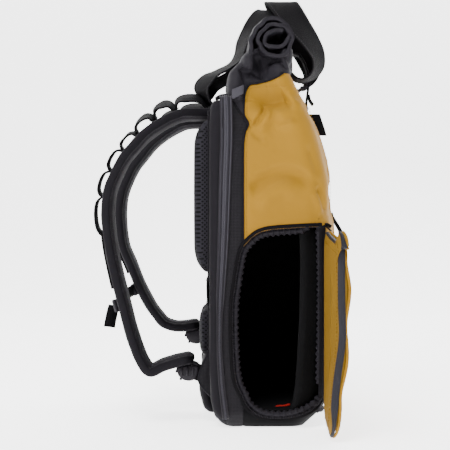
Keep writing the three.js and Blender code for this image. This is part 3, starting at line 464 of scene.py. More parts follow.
def tube(line, radius, sides=8):
    """A round cord along a line."""
    turn = np.linspace(0, FULL_TURN, sides, endpoint=False)
    first = np.asarray(line[1], float) - np.asarray(line[0], float)
    guide = (0, 0, 1) if abs(first[2]) < 0.8 * np.linalg.norm(first) else (0, 1, 0)
    _, side, out = frames(line, guide)
    radius = np.broadcast_to(np.asarray(radius, float), (len(line),))[:, None, None]
    rings = np.asarray(line)[:, None] + radius * (
        side[:, None] * np.cos(turn)[None, :, None] + out[:, None] * np.sin(turn)[None, :, None]
    )
    return loft(rings)


def joined(parts):
    """Several meshes as one."""
    points, faces, start = [], [], 0
    for some, polygons in parts:
        points.append(np.asarray(some))
        faces += [[i + start for i in f] for f in polygons]
        start += len(some)
    return np.vstack(points), faces


def rounded_section(flatness, steps=5):
    """A flat closed section, one wide and one thick, whose edges are half round."""
    turn = np.linspace(-math.pi / 2, math.pi / 2, steps)
    right = [(0.5 - flatness + flatness * math.cos(a), 0.5 * math.sin(a)) for a in turn]
    left = [(-x, -z) for x, z in right]
    return right + left


def oval_section(power, steps=28):
    """A closed section, one wide and one thick, between an ellipse and a box."""
    turn = np.linspace(0, FULL_TURN, steps, endpoint=False)
    shape = lambda value: math.copysign(abs(value) ** (2 / power), value)
    return [(0.5 * shape(math.cos(a)), 0.5 * shape(math.sin(a))) for a in turn]


BAND = rounded_section(0.03)


def strewn(places, along, side, out, shape, faces):
    """Copies of a small shape, one at each place, turned to its directions."""
    shape = np.asarray(shape, float)
    parts = []
    for p, a, s, o in zip(places, along, side, out):
        parts.append((p + shape[:, :1] * a + shape[:, 1:2] * s + shape[:, 2:3] * o, faces))
    return joined(parts)


def pill(length, width, height, sides=6):
    """A small rounded bar along its first axis."""
    turn = np.linspace(0, FULL_TURN, sides, endpoint=False)
    rings = [
        [(x * length / 2, width / 2 * r * math.cos(t), height / 2 * r * math.sin(t)) for t in turn]
        for x, r in ((-1, 0.45), (-0.7, 1), (0.7, 1), (1, 0.45))
    ]
    return loft(rings)


def stitches(line, out, length=2.6, gap=1.4, width=0.7, lift=0.15):
    """A row of stitches along a line that lies on cloth whose face looks out."""
    pitch = 0.5 * (length + gap)
    both = even(np.hstack([line, np.broadcast_to(np.asarray(out, float), np.shape(line))]), pitch)
    line, out = both[:, :3], both[:, 3:]
    along = unit(np.gradient(line, axis=0))
    side = unit(np.cross(out, along))
    up = np.cross(along, side)
    shape, faces = pill(length, width, width)
    return strewn((line + up * lift)[1::2], along[1::2], side[1::2], up[1::2], shape, faces)


# Finishes

# Share of full reflection of the usual surfaces and of the dullest cloths
MATT = 0.1
DULL = 0.05


class Value:
    """A number that varies over a surface, which can be used in sums."""

    def __init__(self, finish, socket):
        self.finish = finish
        self.socket = socket

    def maths(self, operation, *others):
        inputs = dict(enumerate((self, *others)))
        return self.finish.node("ShaderNodeMath", {"operation": operation}, inputs)

    def __add__(self, other):
        return self.maths("ADD", other)

    def __sub__(self, other):
        return self.maths("SUBTRACT", other)

    def __rsub__(self, other):
        return self.finish.node("ShaderNodeMath", {"operation": "SUBTRACT"}, {0: other, 1: self})

    def __mul__(self, other):
        return self.maths("MULTIPLY", other)

    __radd__ = __add__
    __rmul__ = __mul__

    def sine(self):
        return self.maths("SINE")

    def size(self):
        return self.maths("ABSOLUTE")

    def between(self, low, high):
        """0 at low and 1 at high, with a smooth step."""
        settings = {"interpolation_type": "SMOOTHSTEP"}
        inputs = {"Value": self, "From Min": low, "From Max": high}
        return self.finish.node("ShaderNodeMapRange", settings, inputs)


class Finish:
    """One cloth, foam or plastic of the bag as a material."""

    def __init__(self, name, roughness, **constants):
        self.material = bpy.data.materials.new(name)
        self.material.use_nodes = True
        self.tree = self.material.node_tree
        self.shader = self.tree.nodes["Principled BSDF"]
        self.shader.inputs["Roughness"].default_value = roughness
        self.shader.inputs["Specular IOR Level"].default_value = MATT
        for socket, value in constants.items():
            self.shader.inputs[socket.replace("_", " ")].default_value = value

    def node(self, kind, settings=None, inputs=None, output=0):
        node = self.tree.nodes.new(kind)
        for key, value in (settings or {}).items():
            setattr(node, key, value)
        for key, value in (inputs or {}).items():
            socket = node.inputs[key]
            if isinstance(value, Value):
                self.tree.links.new(value.socket, socket)
            else:
                socket.default_value = value
        return Value(self, node.outputs[output])

    def feed(self, socket, value):
        self.tree.links.new(value.socket, self.shader.inputs[socket])

    def place(self):
        """Where a point is, in millimetres along x, y and z."""
        spot = self.node("ShaderNodeTexCoord", output="Object")
        inputs = {0: spot, "Scale": 1 / MM}
        scaled = self.node("ShaderNodeVectorMath", {"operation": "SCALE"}, inputs)
        parts = [
            self.node("ShaderNodeSeparateXYZ", None, {0: scaled}, output=k) for k in range(3)
        ]
        return scaled, parts

    def clouds(self, spot, size, detail=2.0):
        """Even noise with spots of about one size."""
        inputs = {"Vector": spot, "Scale": 1 / size, "Detail": detail, "Roughness": 0.6}
        return self.node("ShaderNodeTexNoise", {"noise_dimensions": "3D"}, inputs)

    def blend(self, mask, low, high):
        """A colour between two, by a mask."""
        inputs = {"Factor": mask, "A": (*low, 1), "B": (*high, 1)}
        return self.node("ShaderNodeMix", {"data_type": "RGBA"}, inputs, output="Result")

    def relief(self, height, depth):
        """Makes the surface rise by up to a depth in millimetres."""
        inputs = {"Height": height, "Distance": depth * MM, "Strength": 1.0}
        self.feed("Normal", self.node("ShaderNodeBump", None, inputs))


def shade(colour, share):
    """A colour made darker or lighter."""
    return tuple(channel * share for channel in colour)


def twill(parts, pitch):
    """Two crossing sets of slanting threads, from 0 to 1."""
    x, y, z = parts
    rate = 2 * math.pi / pitch
    one = ((x + y + z) * rate).sine()
    other = ((x + y - z) * rate).sine()
    return (one * other) * 0.5 + 0.5


def woven(name, colour, pitch, depth, roughness, contrast, crease=0.0, cloud=35.0, **constants):
    """Cloth with slanting threads, uneven colour and fine creases."""
    finish = Finish(name, roughness, **constants)
    spot, parts = finish.place()
    threads = twill(parts, pitch)
    worn = finish.clouds(spot, cloud, 3.0)
    grain = finish.clouds(spot, 1.6, 2.0)
    mask = threads * 0.6 + worn * 0.25 + grain * 0.15
    low, high = shade(colour, 1 - contrast), shade(colour, 1 + contrast)
    finish.feed("Base Color", finish.blend(mask, low, high))
    finish.feed("Roughness", worn * 0.16 + (roughness - 0.08))
    height = threads * depth + grain * (0.5 * depth)
    if crease:
        height = height + finish.clouds(spot, 11.0, 3.0) * crease
    finish.relief(height, 1.0)
    return finish.material


def perforated(name, colour, pitch):
    """Spacer mesh with rows of round holes, coloured nearly black as painted shade."""
    finish = Finish(name, 0.85)
    spot, (x, y, z) = finish.place()
    rate = math.pi / pitch
    across = ((x + y + z) * rate).sine()
    upward = ((x + y - z) * rate).sine()
    holes = (across * upward).size().between(0.5, 0.72)
    threads = twill((x, y, z), 0.9)
    worn = finish.clouds(spot, 30.0)
    tone = worn * 0.5 + threads * 0.5
    body = finish.blend(tone, shade(colour, 0.85), shade(colour, 1.9))
    # Painted shade: the holes take 0.12 of the mesh colour in place of the shade inside them.
    painted_shade_holes = finish.node(
        "ShaderNodeMix", {"data_type": "RGBA"},
        {"Factor": holes, "A": body, "B": (*shade(colour, 0.12), 1)}, output="Result",
    )
    finish.feed("Base Color", painted_shade_holes)
    finish.relief(threads * 0.08 - holes * 0.9, 1.0)
    return finish.material


def moulded(name, colour, roughness):
    """Moulded plastic with a fine spark-eroded grain."""
    finish = Finish(name, roughness)
    spot, _ = finish.place()
    grain = finish.clouds(spot, 0.5, 2.0)
    worn = finish.clouds(spot, 9.0, 3.0)
    finish.feed("Base Color", finish.blend(worn, shade(colour, 0.8), shade(colour, 1.25)))
    finish.feed("Roughness", worn * 0.2 + (roughness - 0.1))
    finish.relief(grain, 0.06)
    return finish.material


def finishes():
    """The bag's materials by name, made once from the colours that are set."""
    if not MATERIALS:
        c = bpy.context.scene.bag_colours
        dull = {"Specular_IOR_Level": DULL}
        MATERIALS.update(
            shell=woven("shell_cloth", c.shell, 0.9, 0.04, 0.66, 0.12, 0.3, 60.0),
            facing=woven("door_facing", c.facing, 1.1, 0.07, 0.75, 0.16, 0.15, 30.0),
            ballistic=woven("ballistic_cloth", c.black, 3.1, 0.35, 0.66, 0.95, 0.1),
            binding=woven("binding_cloth", c.black, 0.8, 0.05, 0.66, 0.15, 0.1, **dull),
            boot=woven("boot_cloth", c.boot, 0.7, 0.02, 0.6, 0.1, 0.12, **dull),
            throat=woven("throat_cloth", c.throat, 0.9, 0.05, 0.66, 0.2, 0.5),
            webbing=woven("webbing", c.webbing, 1.5, 0.16, 0.7, 0.4, **dull),
            tape=woven("zip_tape", c.tape, 1.0, 0.08, 0.5, 0.2),
            # The door's zip tape is the tape colour at half strength: painted shade.
            door_tape=woven("door_tape", shade(c.tape, 0.5), 1.0, 0.08, 0.6, 0.2),
            coil=moulded("zip_coil", c.tape, 0.42),
            foam=woven("strap_cloth", c.strap, 0.9, 0.06, 0.8, 0.2, 0.25, **dull),
            mesh=perforated("air_mesh", c.mesh, 4.6),
            lining=woven("lining", c.lining, 0.9, 0.05, 0.9, 0.3, 0.3),
            plastic=moulded("buckle_plastic", c.plastic, 0.42),
            thread=moulded("thread", c.thread, 0.6),
            red=woven("red_webbing", c.red, 1.2, 0.1, 0.7, 0.25),
        )
    return MATERIALS


MATERIALS = {}


# Body

FRAME_EDGE = [
    (-90, -20), (SEAM_X, -20), (SEAM_X, 296), (-19.4, 314), (-17.4, 320), (-33.0, 344),
    (-35.0, 349), (-90, 349),
]
NEAR_FOLDS = [
    ([(-20, 349), (0, 346), (17, 347), (35, 339)], 10, -5.6),
    ([(-17, 328), (-2, 329), (14, 333), (30, 325)], 7, 2.0),
    ([(0, 343), (-2, 332), (-14, 317)], 2.6, -2.2),
    ([(6, 340), (3, 327), (-8, 312)], 3.8, 2.2),
    ([(18, 354), (23, 346), (30, 338)], 2.6, -2.0),
    ([(24, 356), (29, 348), (34, 341)], 3.0, 1.4),
    ([(12, 316), (24, 319), (34, 326)], 3.4, 1.3),
    ([(-17, 244), (-5, 258), (14, 268), (33, 266), (52, 254)], 6.5, -3.0),
    ([(-12, 230), (4, 243), (20, 251), (42, 246)], 8.0, 1.9),
    ([(55, 256), (61, 240), (65, 226)], 2.4, -1.9),
    ([(49, 250), (55, 236), (58, 222)], 2.6, 1.2),
    ([(-18, 316), (-10, 309), (0, 303)], 3.2, -1.3),
    ([(45, 300), (52, 280), (58, 262)], 4.0, -1.1),
]
FAR_FOLDS = [
    ([(-15, 345), (4, 341), (26, 346)], 9, -2.2),
    ([(4, 341), (2, 330), (-12, 316)], 3.4, -1.6),
    ([(-15, 232), (8, 252), (34, 256), (52, 246)], 8, -2.0),
    ([(-12, 160), (14, 148), (44, 156)], 11, -1.4),
    ([(-8, 92), (20, 104), (50, 96)], 10, -1.2),
    ([(53, 250), (60, 236), (64, 222)], 3.0, -1.3),
]
FRONT_FOLDS = [
    ([(-112, 354), (-60, 344), (0, 341), (60, 345), (112, 353)], 10, -2.6),
    ([(-98, 330), (-74, 312), (-58, 286)], 8, -1.6),
    ([(98, 332), (70, 310), (52, 282)], 8, -1.6),
    ([(-100, 262), (-40, 250), (30, 252), (100, 266)], 12, -2.0),
    ([(-96, 150), (-30, 160), (40, 148), (98, 158)], 14, -1.2),
    ([(-87, 40), (-87, 180), (-86, 300), (-79, 366)], 1.5, -1.1),
    ([(87, 40), (87, 180), (86, 300), (79, 366)], 1.5, -1.1),
]
THROAT_FOLDS = [
    ([(-10, 400), (-5, 384), (-1, 366)], 2.8, -3.0),
    ([(-18, 398), (-16, 384), (-12, 368)], 3.8, 2.6),
    ([(-27, 392), (-23, 378), (-19, 362)], 2.8, -2.6),
    ([(5, 384), (14, 389), (24, 379), (30, 374)], 2.4, -2.4),
    ([(0, 374), (12, 382), (22, 374)], 4.2, 2.2),
    ([(-36, 357), (-30, 344), (-20, 330)], 2.6, -2.4),
    ([(-26, 356), (-24, 344), (-19, 334)], 2.8, 2.2),
    ([(20, 396), (27, 388), (31, 378)], 2.2, -2.0),
    ([(-30, 380), (-14, 376), (2, 369), (14, 373)], 2.2, -2.0),
    ([(-24, 370), (-8, 366), (6, 364)], 2.4, 1.6),
    ([(-14, 356), (-17, 342), (-20, 328)], 1.8, -1.4),
]


def on_side(points, near, far, low=112, high=124):
    """Folds of the two sides, faded out towards the front and back panels."""
    flat = points[:, [0, 2]]
    y = points[:, 1]
    return folds(flat, near) * ease(-y, low, high) + folds(flat, far) * ease(y, low, high)


def outside_opening(points, margin=0.0):
    """Above zero inside the side opening, which is only in the near side."""
    gap = -signed(points[:, [0, 2]], OPENING) - margin
    return np.where(points[:, 1] < NEAR_SIDE, gap, -1e3)


# The fields of the panels, which are below zero where a panel has cloth

def shell_part(points):
    edge = signed(points[:, [0, 2]], SHELL_EDGE)
    return np.maximum.reduce([edge, BOOT_TOP - points[:, 2], outside_opening(points)])


def boot_part(points):
    behind = SEAM_X - points[:, 0]
    return np.maximum.reduce([behind, points[:, 2] - BOOT_TOP, outside_opening(points)])


def frame_part(points):
    edge = signed(points[:, [0, 2]], FRAME_EDGE)
    return np.maximum.reduce([edge, outside_opening(points)])


def zip_line(z):
    """Middle and width of the laptop zip on the side, by height."""
    rows = np.array([
        (0, -40.0, 6.0), (13, -41.5, 6.0), (53, -46.0, 5.6), (90, -47.8, 5.0), (118, -47.6, 5.4),
        (135, -47.0, 8.0), (196, -44.0, 10.8), (260, -42.0, 12.2), (313, -40.4, 12.8),
        (350, -41.0, 12.8),
    ])
    return np.moveaxis(blended(rows, z), -1, 0)


def ballistic_part(points):
    middle, _ = zip_line(points[:, 2])
    ahead = np.where(np.abs(points[:, 1]) > 90, middle - points[:, 0], 1e3)
    over = np.where(points[:, 2] > FRAME_TOP - 6, middle - points[:, 0], ahead)
    return np.maximum(frame_part(points), over)


def binding_part(points):
    middle, _ = zip_line(points[:, 2])
    behind = points[:, 0] - middle
    return np.maximum(frame_part(points), behind)


def throat_part(points):
    flat = points[:, [0, 2]]
    shell, harness = signed(flat, SHELL_EDGE), signed(flat, FRAME_EDGE)
    return np.maximum.reduce([-shell, -harness, 300 - points[:, 2], points[:, 2] - 401.5])


def drawn_tight(depth, field, bulge, reach):
    """Cloth that stands proud between its seams and goes down into them."""
    return -depth + (bulge + depth) * (1 - np.exp(np.minimum(field, 0) / reach))


# How far the cloth of each panel stands off the pattern

def shell_lift(points, field):
    front = folds(points[:, [1, 2]], FRONT_FOLDS)
    front = front * ease(-np.abs(points[:, 1]), -116, -104) * ease(points[:, 0], 0, 25)
    cloth = on_side(points, NEAR_FOLDS, FAR_FOLDS) + front + 0.7 * ripple(points, 42, 1)
    scale = bpy.context.scene.bag_sizes.fold_depth
    return drawn_tight(0.9, field, 0.9, 3.5) + scale * cloth * ease(-field, 0.5, 9)


def boot_lift(points, field):
    return drawn_tight(0.7, field, 0.7, 3.0) + 0.35 * ripple(points, 30, 2) * ease(-field, 0, 8)


def frame_lift(points, field):
    return drawn_tight(0.8, field, 0.6, 3.0) + 0.3 * ripple(points, 34, 3) * ease(-field, 0, 8)


def throat_lift(points, field):
    cloth = on_side(points, THROAT_FOLDS, THROAT_FOLDS, 92, 110) + 1.3 * ripple(points, 17, 4)
    pleat = np.sin(points[:, 1] / 9.0 + 2.2 * ripple(points, 60, 5))
    pleat = pleat * ease(-np.abs(points[:, 1]), -112, -96) * ease(points[:, 2], 350, 368)
    return drawn_tight(0.8, field, 0.6, 3.0) + (1.4 * cloth + 1.3 * pleat) * ease(-field, 0.5, 7)


def side_line(points, side, lift=0.0):
    """A line given as x and z, laid on one side of the body."""
    line = np.asarray(points, float)
    return upright(line, side * (side_y(line[:, 0], line[:, 1]) + lift))


def front_line(points, lift=0.0):
    """A line given as y and z, laid on the front of the body."""
    line = np.asarray(points, float)
    return np.stack([front_x(line[:, 0], line[:, 1]) + lift, line[:, 0], line[:, 1]], 1)


def make_body():
    step = bpy.context.scene.bag_sizes.pattern_step
    high = np.arange(BOOT_TOP - 1, 377, step)
    low = np.r_[np.linspace(0, 8, 7), np.arange(10, BOOT_TOP + 2, step)]
    tall = np.r_[np.linspace(0, 8, 5), np.arange(10, 340, step), np.linspace(341, 349, 9)]
    harness = ("black_fabric", "back_frame")
    for name, heights, part, lift, finish, slot, node in (
        ("shell_cloth", high, shell_part, shell_lift, "shell", "shell_fabric", "main_shell"),
        ("boot_cloth", low, boot_part, boot_lift, "boot", "boot_fabric", "base_boot"),
        ("harness_side_cloth", tall, ballistic_part, frame_lift, "ballistic", *harness),
        ("harness_back_cloth", tall, binding_part, frame_lift, "binding", *harness),
    ):
        panel(name, heights, part, lift, CLOTH_THICK, finish, slot, node)
    make_floor()
    make_seams()


def make_floor():
    """The cloth under the bag, drawn in to a flat middle."""
    ring = body_rings([0.0])[0]
    shares = np.linspace(1, 0.03, 24)
    grid = np.array([grown(ring, share) for share in shares])
    grid[..., 2] = 0.4 + 0.5 * (1 - shares[:, None] ** 6)
    thickened(new_piece("under_cloth", capped(grid), "boot", "boot_fabric"), SOFT_CLOTH_THICK, 1)


def make_seams():
    """Seam cords and rows of stitches along the edges of the body's panels."""
    cords, rows = [], []
    edge = rounded([(SEAM_X, BOOT_TOP), (SEAM_X, 160), *SHELL_EDGE[1:11]], 8)
    for side in (-1, 1):
        line = side_line(even(edge, 3), side, 0.2)
        if side < 0:
            gone = inside(line[:, [0, 2]], OPENING)
            first = np.argmax(~gone)
            line = line[first:]
        cords.append(tube(line, 0.9, 6))
        inner = even(edge, 3) + (3.2, 0)
        inner[:, 1] = np.minimum(inner[:, 1], 360)
        seam = side_line(inner, side, 0.5)
        seam = seam[~inside(seam[:, [0, 2]], OPENING)] if side < 0 else seam
        rows.append(stitches(seam, np.array([0, side, 0.0])))
        front = front_line([(side * 83.5, z) for z in np.arange(BOOT_TOP + 6, 352, 4)], 0.6)
        rows.append(stitches(front, np.array([1.0, 0, 0])))
        diagonal = side_line(even([(-17.4, 320), (-33, 344)], 2), side, 0.2)
        cords.append(tube(diagonal, 0.8, 6))
    base = body_rings([BOOT_TOP])[0]
    base = base[base[:, 0] > SEAM_X]
    split = np.argmax(np.linalg.norm(np.diff(base, axis=0), axis=1) > 20) + 1
    loop = np.roll(base, -split, axis=0) if split > 1 else base
    loop = loop[~((loop[:, 1] < NEAR_SIDE) & inside(loop[:, [0, 2]], OPENING))]
    gap = np.linalg.norm(np.diff(loop, axis=0), axis=1)
    for part in np.split(loop, np.where(gap > 12)[0] + 1):
        if len(part) > 3:
            out = part - part.mean(0) * (0.2, 0, 1)
            cords.append(tube(part, 0.9, 6))
            lifted = part + (0, 0, 3.4)
            rows.append(stitches(lifted + 0.5 * unit(out), out))
    new_piece("seam_cords", joined(cords), "binding", "black_fabric")
    new_piece("shell_stitches", joined(rows), "shell", "shell_fabric")


# Zips

TAPE = [
    (-0.5, -0.5), (-0.5, 0.05), (-0.47, 0.3), (-0.4, 0.32), (-0.36, 0.1), (-0.17, 0.1),
    (-0.14, 0.42), (-0.08, 0.52), (-0.03, 0.4), (0.0, 0.12), (0.03, 0.4), (0.08, 0.52),
    (0.14, 0.42), (0.17, 0.1), (0.36, 0.1), (0.4, 0.32), (0.47, 0.3), (0.5, 0.05), (0.5, -0.5),
]


def laptop_zip_path():
    """The line of the laptop zip from the near foot over the top to the far foot."""
    heights = np.arange(10, 342, 4.0)
    middle, width = zip_line(heights)
    near = side_line(np.stack([middle, heights], 1), -1, 0.9)
    edge = near[-1]
    over = np.array([
        (-41.0, edge[1] + 0.4, 345.5), (-41.0, edge[1] + 2.6, 348.6), (-41.2, edge[1] + 6.5, 349.7),
        (-41.3, edge[1] + 14, 350.0), (-41.5, -90, 350.0), (-41.5, -45, 350.0),
        (-41.5, 0, 350.0),
    ])
    half = np.vstack([near, over])
    line = np.vstack([half, half[-2::-1] * (1, -1, 1)])
    wide = np.r_[width, np.full(len(over), 12.4)]
    return rounded(line, 3), rounded(np.r_[wide, wide[-2::-1]][:, None], 3)[:, 0]


def teeth(line, across, out, width, pitch=1.7, height=0.9):
    """The turns of a zip's coil along its line."""
    both = even(np.hstack([line, across, out]), pitch)
    spots, side, up = both[:, :3], unit(both[:, 3:6]), unit(both[:, 6:])
    along = np.cross(side, up)
    shape, faces = pill(width, 0.95, height)
    return strewn(spots, side, along, up, shape, faces)


def make_laptop_zip():
    line, width = laptop_zip_path()
    new_piece(
        "laptop_zip_tape", ribbon(line, (-1, 0, 0), width, 3.6, TAPE),
        "tape", "zip_tape", "laptop_zip",
    )
    _, across, out = frames(line, (-1, 0, 0))
    grooves = [
        tube(line + across * (share * width)[:, None] + out * lift, radius, 6)
        for share, lift, radius in (
            (-0.27, 0.75, 0.55), (0.27, 0.75, 0.55), (-0.47, 0.6, 0.8), (0.47, 0.6, 0.8),
        )
    ]
    new_piece("laptop_zip_grooves", joined(grooves), "plastic", "zip_tape")
    new_piece("laptop_zip_coil", teeth(line + out * 1.2, across, out, 2.2), "coil", "zip_tape")
    stops = []
    for y in (-122.0, -112.0, -104.0):
        rows = [(-52, y, 348.6), (-47, y + 1, 351.6), (-41, y + 2, 352.4), (-36, y + 4, 350.8)]
        stops.append(tube(rounded(rows, 5), 1.4))
    new_piece("laptop_zip_pulls", joined(stops), "plastic", "buckle_plastic")


def moved(outline, distance):
    """A flat line moved sideways, outwards from the opening where the distance is above zero."""
    line = np.asarray(outline, float)
    along = unit(np.gradient(line, axis=0))
    return line + np.stack([-along[:, 1], along[:, 0]], 1) * distance


def opening_curve():
    """The edge of the opening as a smooth line from the hinge's foot to the hinge's top."""
    return even(rounded(OPENING, 8), 2.0)


def make_compartment():
    curve = opening_curve()
    strip = side_line(moved(curve, 2.2), -1, 0.4)
    out = np.array([0, -1.0, 0])
    side = np.cross(np.gradient(strip, axis=0), out)
    new_piece(
        "opening_zip_tape", ribbon(strip, side, 3.6, 1.6), "webbing", "zip_tape", "opening_zip",
    )
    coil = side_line(moved(curve, 0.2), -1, 0.8)
    new_piece(
        "opening_zip_coil", teeth(coil, side, np.broadcast_to(out, coil.shape), 2.4),
        "plastic", "zip_tape",
    )
    hinge = np.array([(60.4, z) for z in np.linspace(20, 213, 60)])
    line = side_line(hinge, -1, 0.5)
    ahead = np.cross(np.gradient(line, axis=0), (0.45, -0.9, 0))
    new_piece("hinge_binding", ribbon(line, ahead, 8.0, 1.4), "binding", "black_fabric")
    outline = even(rounded(OPENING, 8, closed=True), 0.8)
    inner = moved(outline, -3.4)
    run = np.r_[0, np.cumsum(np.linalg.norm(np.diff(inner, axis=0), axis=1))]
    gather = np.sin(run * 2 * math.pi / 6.2 + 1.4 * np.sin(run / 23))
    uneven = ripple(upright(inner, 0.0), 13, 6)
    radius = 3.3 + 0.9 * gather + 0.5 * uneven
    y = -side_y(np.minimum(inner[:, 0], 58), inner[:, 1]) + 3.6 + 0.5 * gather
    new_piece(
        "gathered_edge", tube(upright(inner, y), radius, 12),
        "throat", "lining", "opening_lip",
    )
    make_liner()


def make_liner():
    """The padded walls, floor and ceiling of the camera compartment."""
    rings, count = [], 132
    turn = np.linspace(0, FULL_TURN, count, endpoint=False)
    for y in np.r_[-134, -131, np.arange(-126, 122, 5.0), 124, 126]:
        limit = front_x(0, 110.0) - 10 if abs(y) < 100 else np.interp(abs(y), (100, 137), (68, 50))
        low, high = np.array([-38.0, 17.5]), np.array([limit, 213.0])
        middle, half = (low + high) / 2, (high - low) / 2
        c, s = np.cos(turn), np.sin(turn)
        x = middle[0] + half[0] * np.sign(c) * np.abs(c) ** 0.22
        z = middle[1] + half[1] * np.sign(s) * np.abs(s) ** 0.22
        front, wide, corner = (level(z)[k] for k in (1, 2, 3))
        near = np.clip(abs(y) + 8 - (wide - corner), 0, corner)
        skin = front - corner + np.sqrt(np.clip(corner**2 - near**2, 0, None))
        x = np.minimum(x, skin - 8)
        rings.append(np.stack([x, np.full(count, y), z], 1))
    rings += [grown(rings[-1], share) for share in (0.9, 0.6, 0.3, 0.02)]
    grid = np.array(rings)
    soft = ripple(grid.reshape(-1, 3), 26, 7).reshape(grid.shape[:2])
    grid = grid + grid_normals(grid, True) * soft[..., None] * 1.4
    piece = new_piece("compartment_lining", capped(grid), "lining", "lining", "compartment_liner")
    thickened(piece, 3.4)
    tab = rounded([(11, -105, 17.6), (16, -105, 18.4), (22, -104.6, 18.6), (28, -104, 20.2)], 5)
    new_piece("lining_pull", ribbon(tab, (0, 1, 0), 8, 1.3), "red", "red_webbing", "lining_tab")


# Door

DOOR_X = 61.0
DOOR_LENGTH = 90.0
DOOR_LOW = 4.5
DOOR_HIGH = 206.0
DOOR_LEAN = 0.06
DOOR_ROUND = 16.0

# Half section of the door's padding from the middle of its inner face round the edge to the
# middle of its outer face: distance in from the edge and place through the thickness
DOOR_SECTION = [
    (44, 0.2), (36, 0.2), (26, 0.2), (18, 0.1), (11, -0.1), (6.5, 0.3), (3.2, 0.8), (1.2, 1.9),
    (0.2, 3.4), (0.0, 5.0), (0.2, 6.4),
    (1.2, 7.6), (3.5, 9.2), (7, 10.2), (12, 10.9), (20, 11.6), (30, 12.0), (40, 12.1), (44, 12.1),
]


def door_place(points):
    """Door points (out from the hinge, through its thickness, up) in the bag's axes. The free
    edge bows forwards, its foot hangs back and the padding thins out to foot and head."""
    u, w, z = np.moveaxis(np.asarray(points, float), -1, 0)
    bow = np.interp(z, (0, 30, 60, 100, 150, 190, 210), (-8, -5, -1, 3, 5, 4, 1))
    past = np.maximum(np.clip((26 - z) / 23, 0, 1), np.clip((z - 186) / 24, 0, 1))
    pinch = np.sqrt(np.clip(1 - past**2, 0.04, 1))
    w = 5.6 + (w - 5.6) * pinch + bow * ease(u, 0, DOOR_LENGTH)
    root = -float(side_y(DOOR_X, 165.0))
    c, s = math.cos(DOOR_LEAN), math.sin(DOOR_LEAN)
    return np.stack([DOOR_X + w * c + u * s, root - u * c + w * s, z], -1)


def door_outline(inset, steps=220):
    """The door's rounded outline, drawn in by a distance, at an even pitch."""
    low, high, centre = DOOR_LOW, DOOR_HIGH, DOOR_LENGTH - DOOR_ROUND
    arc = [
        (DOOR_ROUND * math.cos(a), DOOR_ROUND * math.sin(a))
        for a in np.linspace(-QUARTER_TURN, 0, 9)
    ]
    foot = [(centre + c, low + DOOR_ROUND + s) for c, s in arc]
    head = [(centre - s, high - DOOR_ROUND + c) for c, s in arc[::-1]]
    outline = even([(0, low), *foot, *head, (0, high), (0, low)], 1.0)
    run = np.linspace(0, len(outline) - 1, steps, endpoint=False)
    outline = np.stack([np.interp(run, np.arange(len(outline)), outline[:, k]) for k in (0, 1)], 1)
    middle = np.array([DOOR_LENGTH / 2, (low + high) / 2])
    share = 1 - inset / np.array([DOOR_LENGTH / 2, (high - low) / 2])
    return middle + (outline - middle) * share


def make_door():
    grid = np.array([upright(door_outline(inset), w) for inset, w in DOOR_SECTION])
    u, w, z = np.moveaxis(grid, -1, 0)
    away = ease(u, 0, 30)
    soft = ripple(grid.reshape(-1, 3) * (1, 0.3, 1), 24, 8).reshape(u.shape)
    bow = 1.8 * np.sin(z / 205 * math.pi) - 1.0 * np.sin(u / 90 * math.pi)
    wave = 1.6 * np.sin(z / 11 + 0.6) * ease(u, 55, 90) * ease(w, 4, 9) * ease(z, 25, 50)
    grid[..., 1] += away * (1.3 * soft + bow) + wave
    door = new_piece("door_padding", loft(door_place(grid)), "facing", "shell_fabric", "door_panel")
    add_modifier(door, "SUBSURF", levels=1)
    make_door_edge()


def make_door_edge():
    """The zip tape bound round the door, its coil and the outer cloth's wavy edge."""
    flat = door_outline(-0.6, 300)
    open_run = flat[flat[:, 0] > 1.5]
    z = open_run[:, 1]
    sway = 1.0 * np.sin(z / 15 + 1) * ease(open_run[:, 0], 40, 85)
    line = door_place(upright(open_run, 3.6 + sway))
    depth = door_place(np.array([(0, 1, 0.0)])) - door_place(np.array([(0, 0, 0.0)]))
    wide = 7.2 * np.clip(np.minimum(z / 34, (216 - z) / 30), 0.35, 1)
    # The door tape's colour is the zip tape's own colour darkened by half, as painted shade.
    new_piece(
        "door_zip_tape", ribbon(line, depth[0], wide, 1.5), "door_tape", "zip_tape", "door_zip",
    )
    _, across, out = frames(line, depth[0])
    edge = line - across * (0.42 * wide)[:, None] + out * 0.9
    new_piece("door_zip_coil", teeth(edge, across, out, 1.6), "plastic", "zip_tape")
    swing = 1.7 * np.sin(z / 11 + 0.6) * ease(open_run[:, 0], 40, 85) * ease(z, 25, 50)
    wavy = upright(open_run - (1.0, 0), 9.6 + swing)
    new_piece("door_outer_cord", tube(door_place(wavy), 1.6, 10), "shell", "shell_fabric")
    seam = door_outline(8.0, 300)
    seam = seam[seam[:, 0] > 9]
    face = door_place(upright(seam, 0.2))
    new_piece("door_stitches", stitches(face, -depth[0], lift=0.6), "facing", "shell_fabric")
    root = -float(side_y(66.0, 210.0))
    bow = ((63, 3, 213), (66, 4.5, 211), (70, 5.5, 207), (72, 5, 202))
    puller = [(x, root - out, z) for x, out, z in bow]
    slider = [(62, root - 1, 213.5), (66, root - 2, 214), (70, root - 1, 212)]
    both = [ribbon(rounded(puller, 5), (0.3, 1, 0), 4.2, 1.4), tube(rounded(slider, 5), 1.9, 10)]
    new_piece("door_zip_slider", joined(both), "webbing", "buckle_plastic", "zip_slider")


# Throat, roll and handles

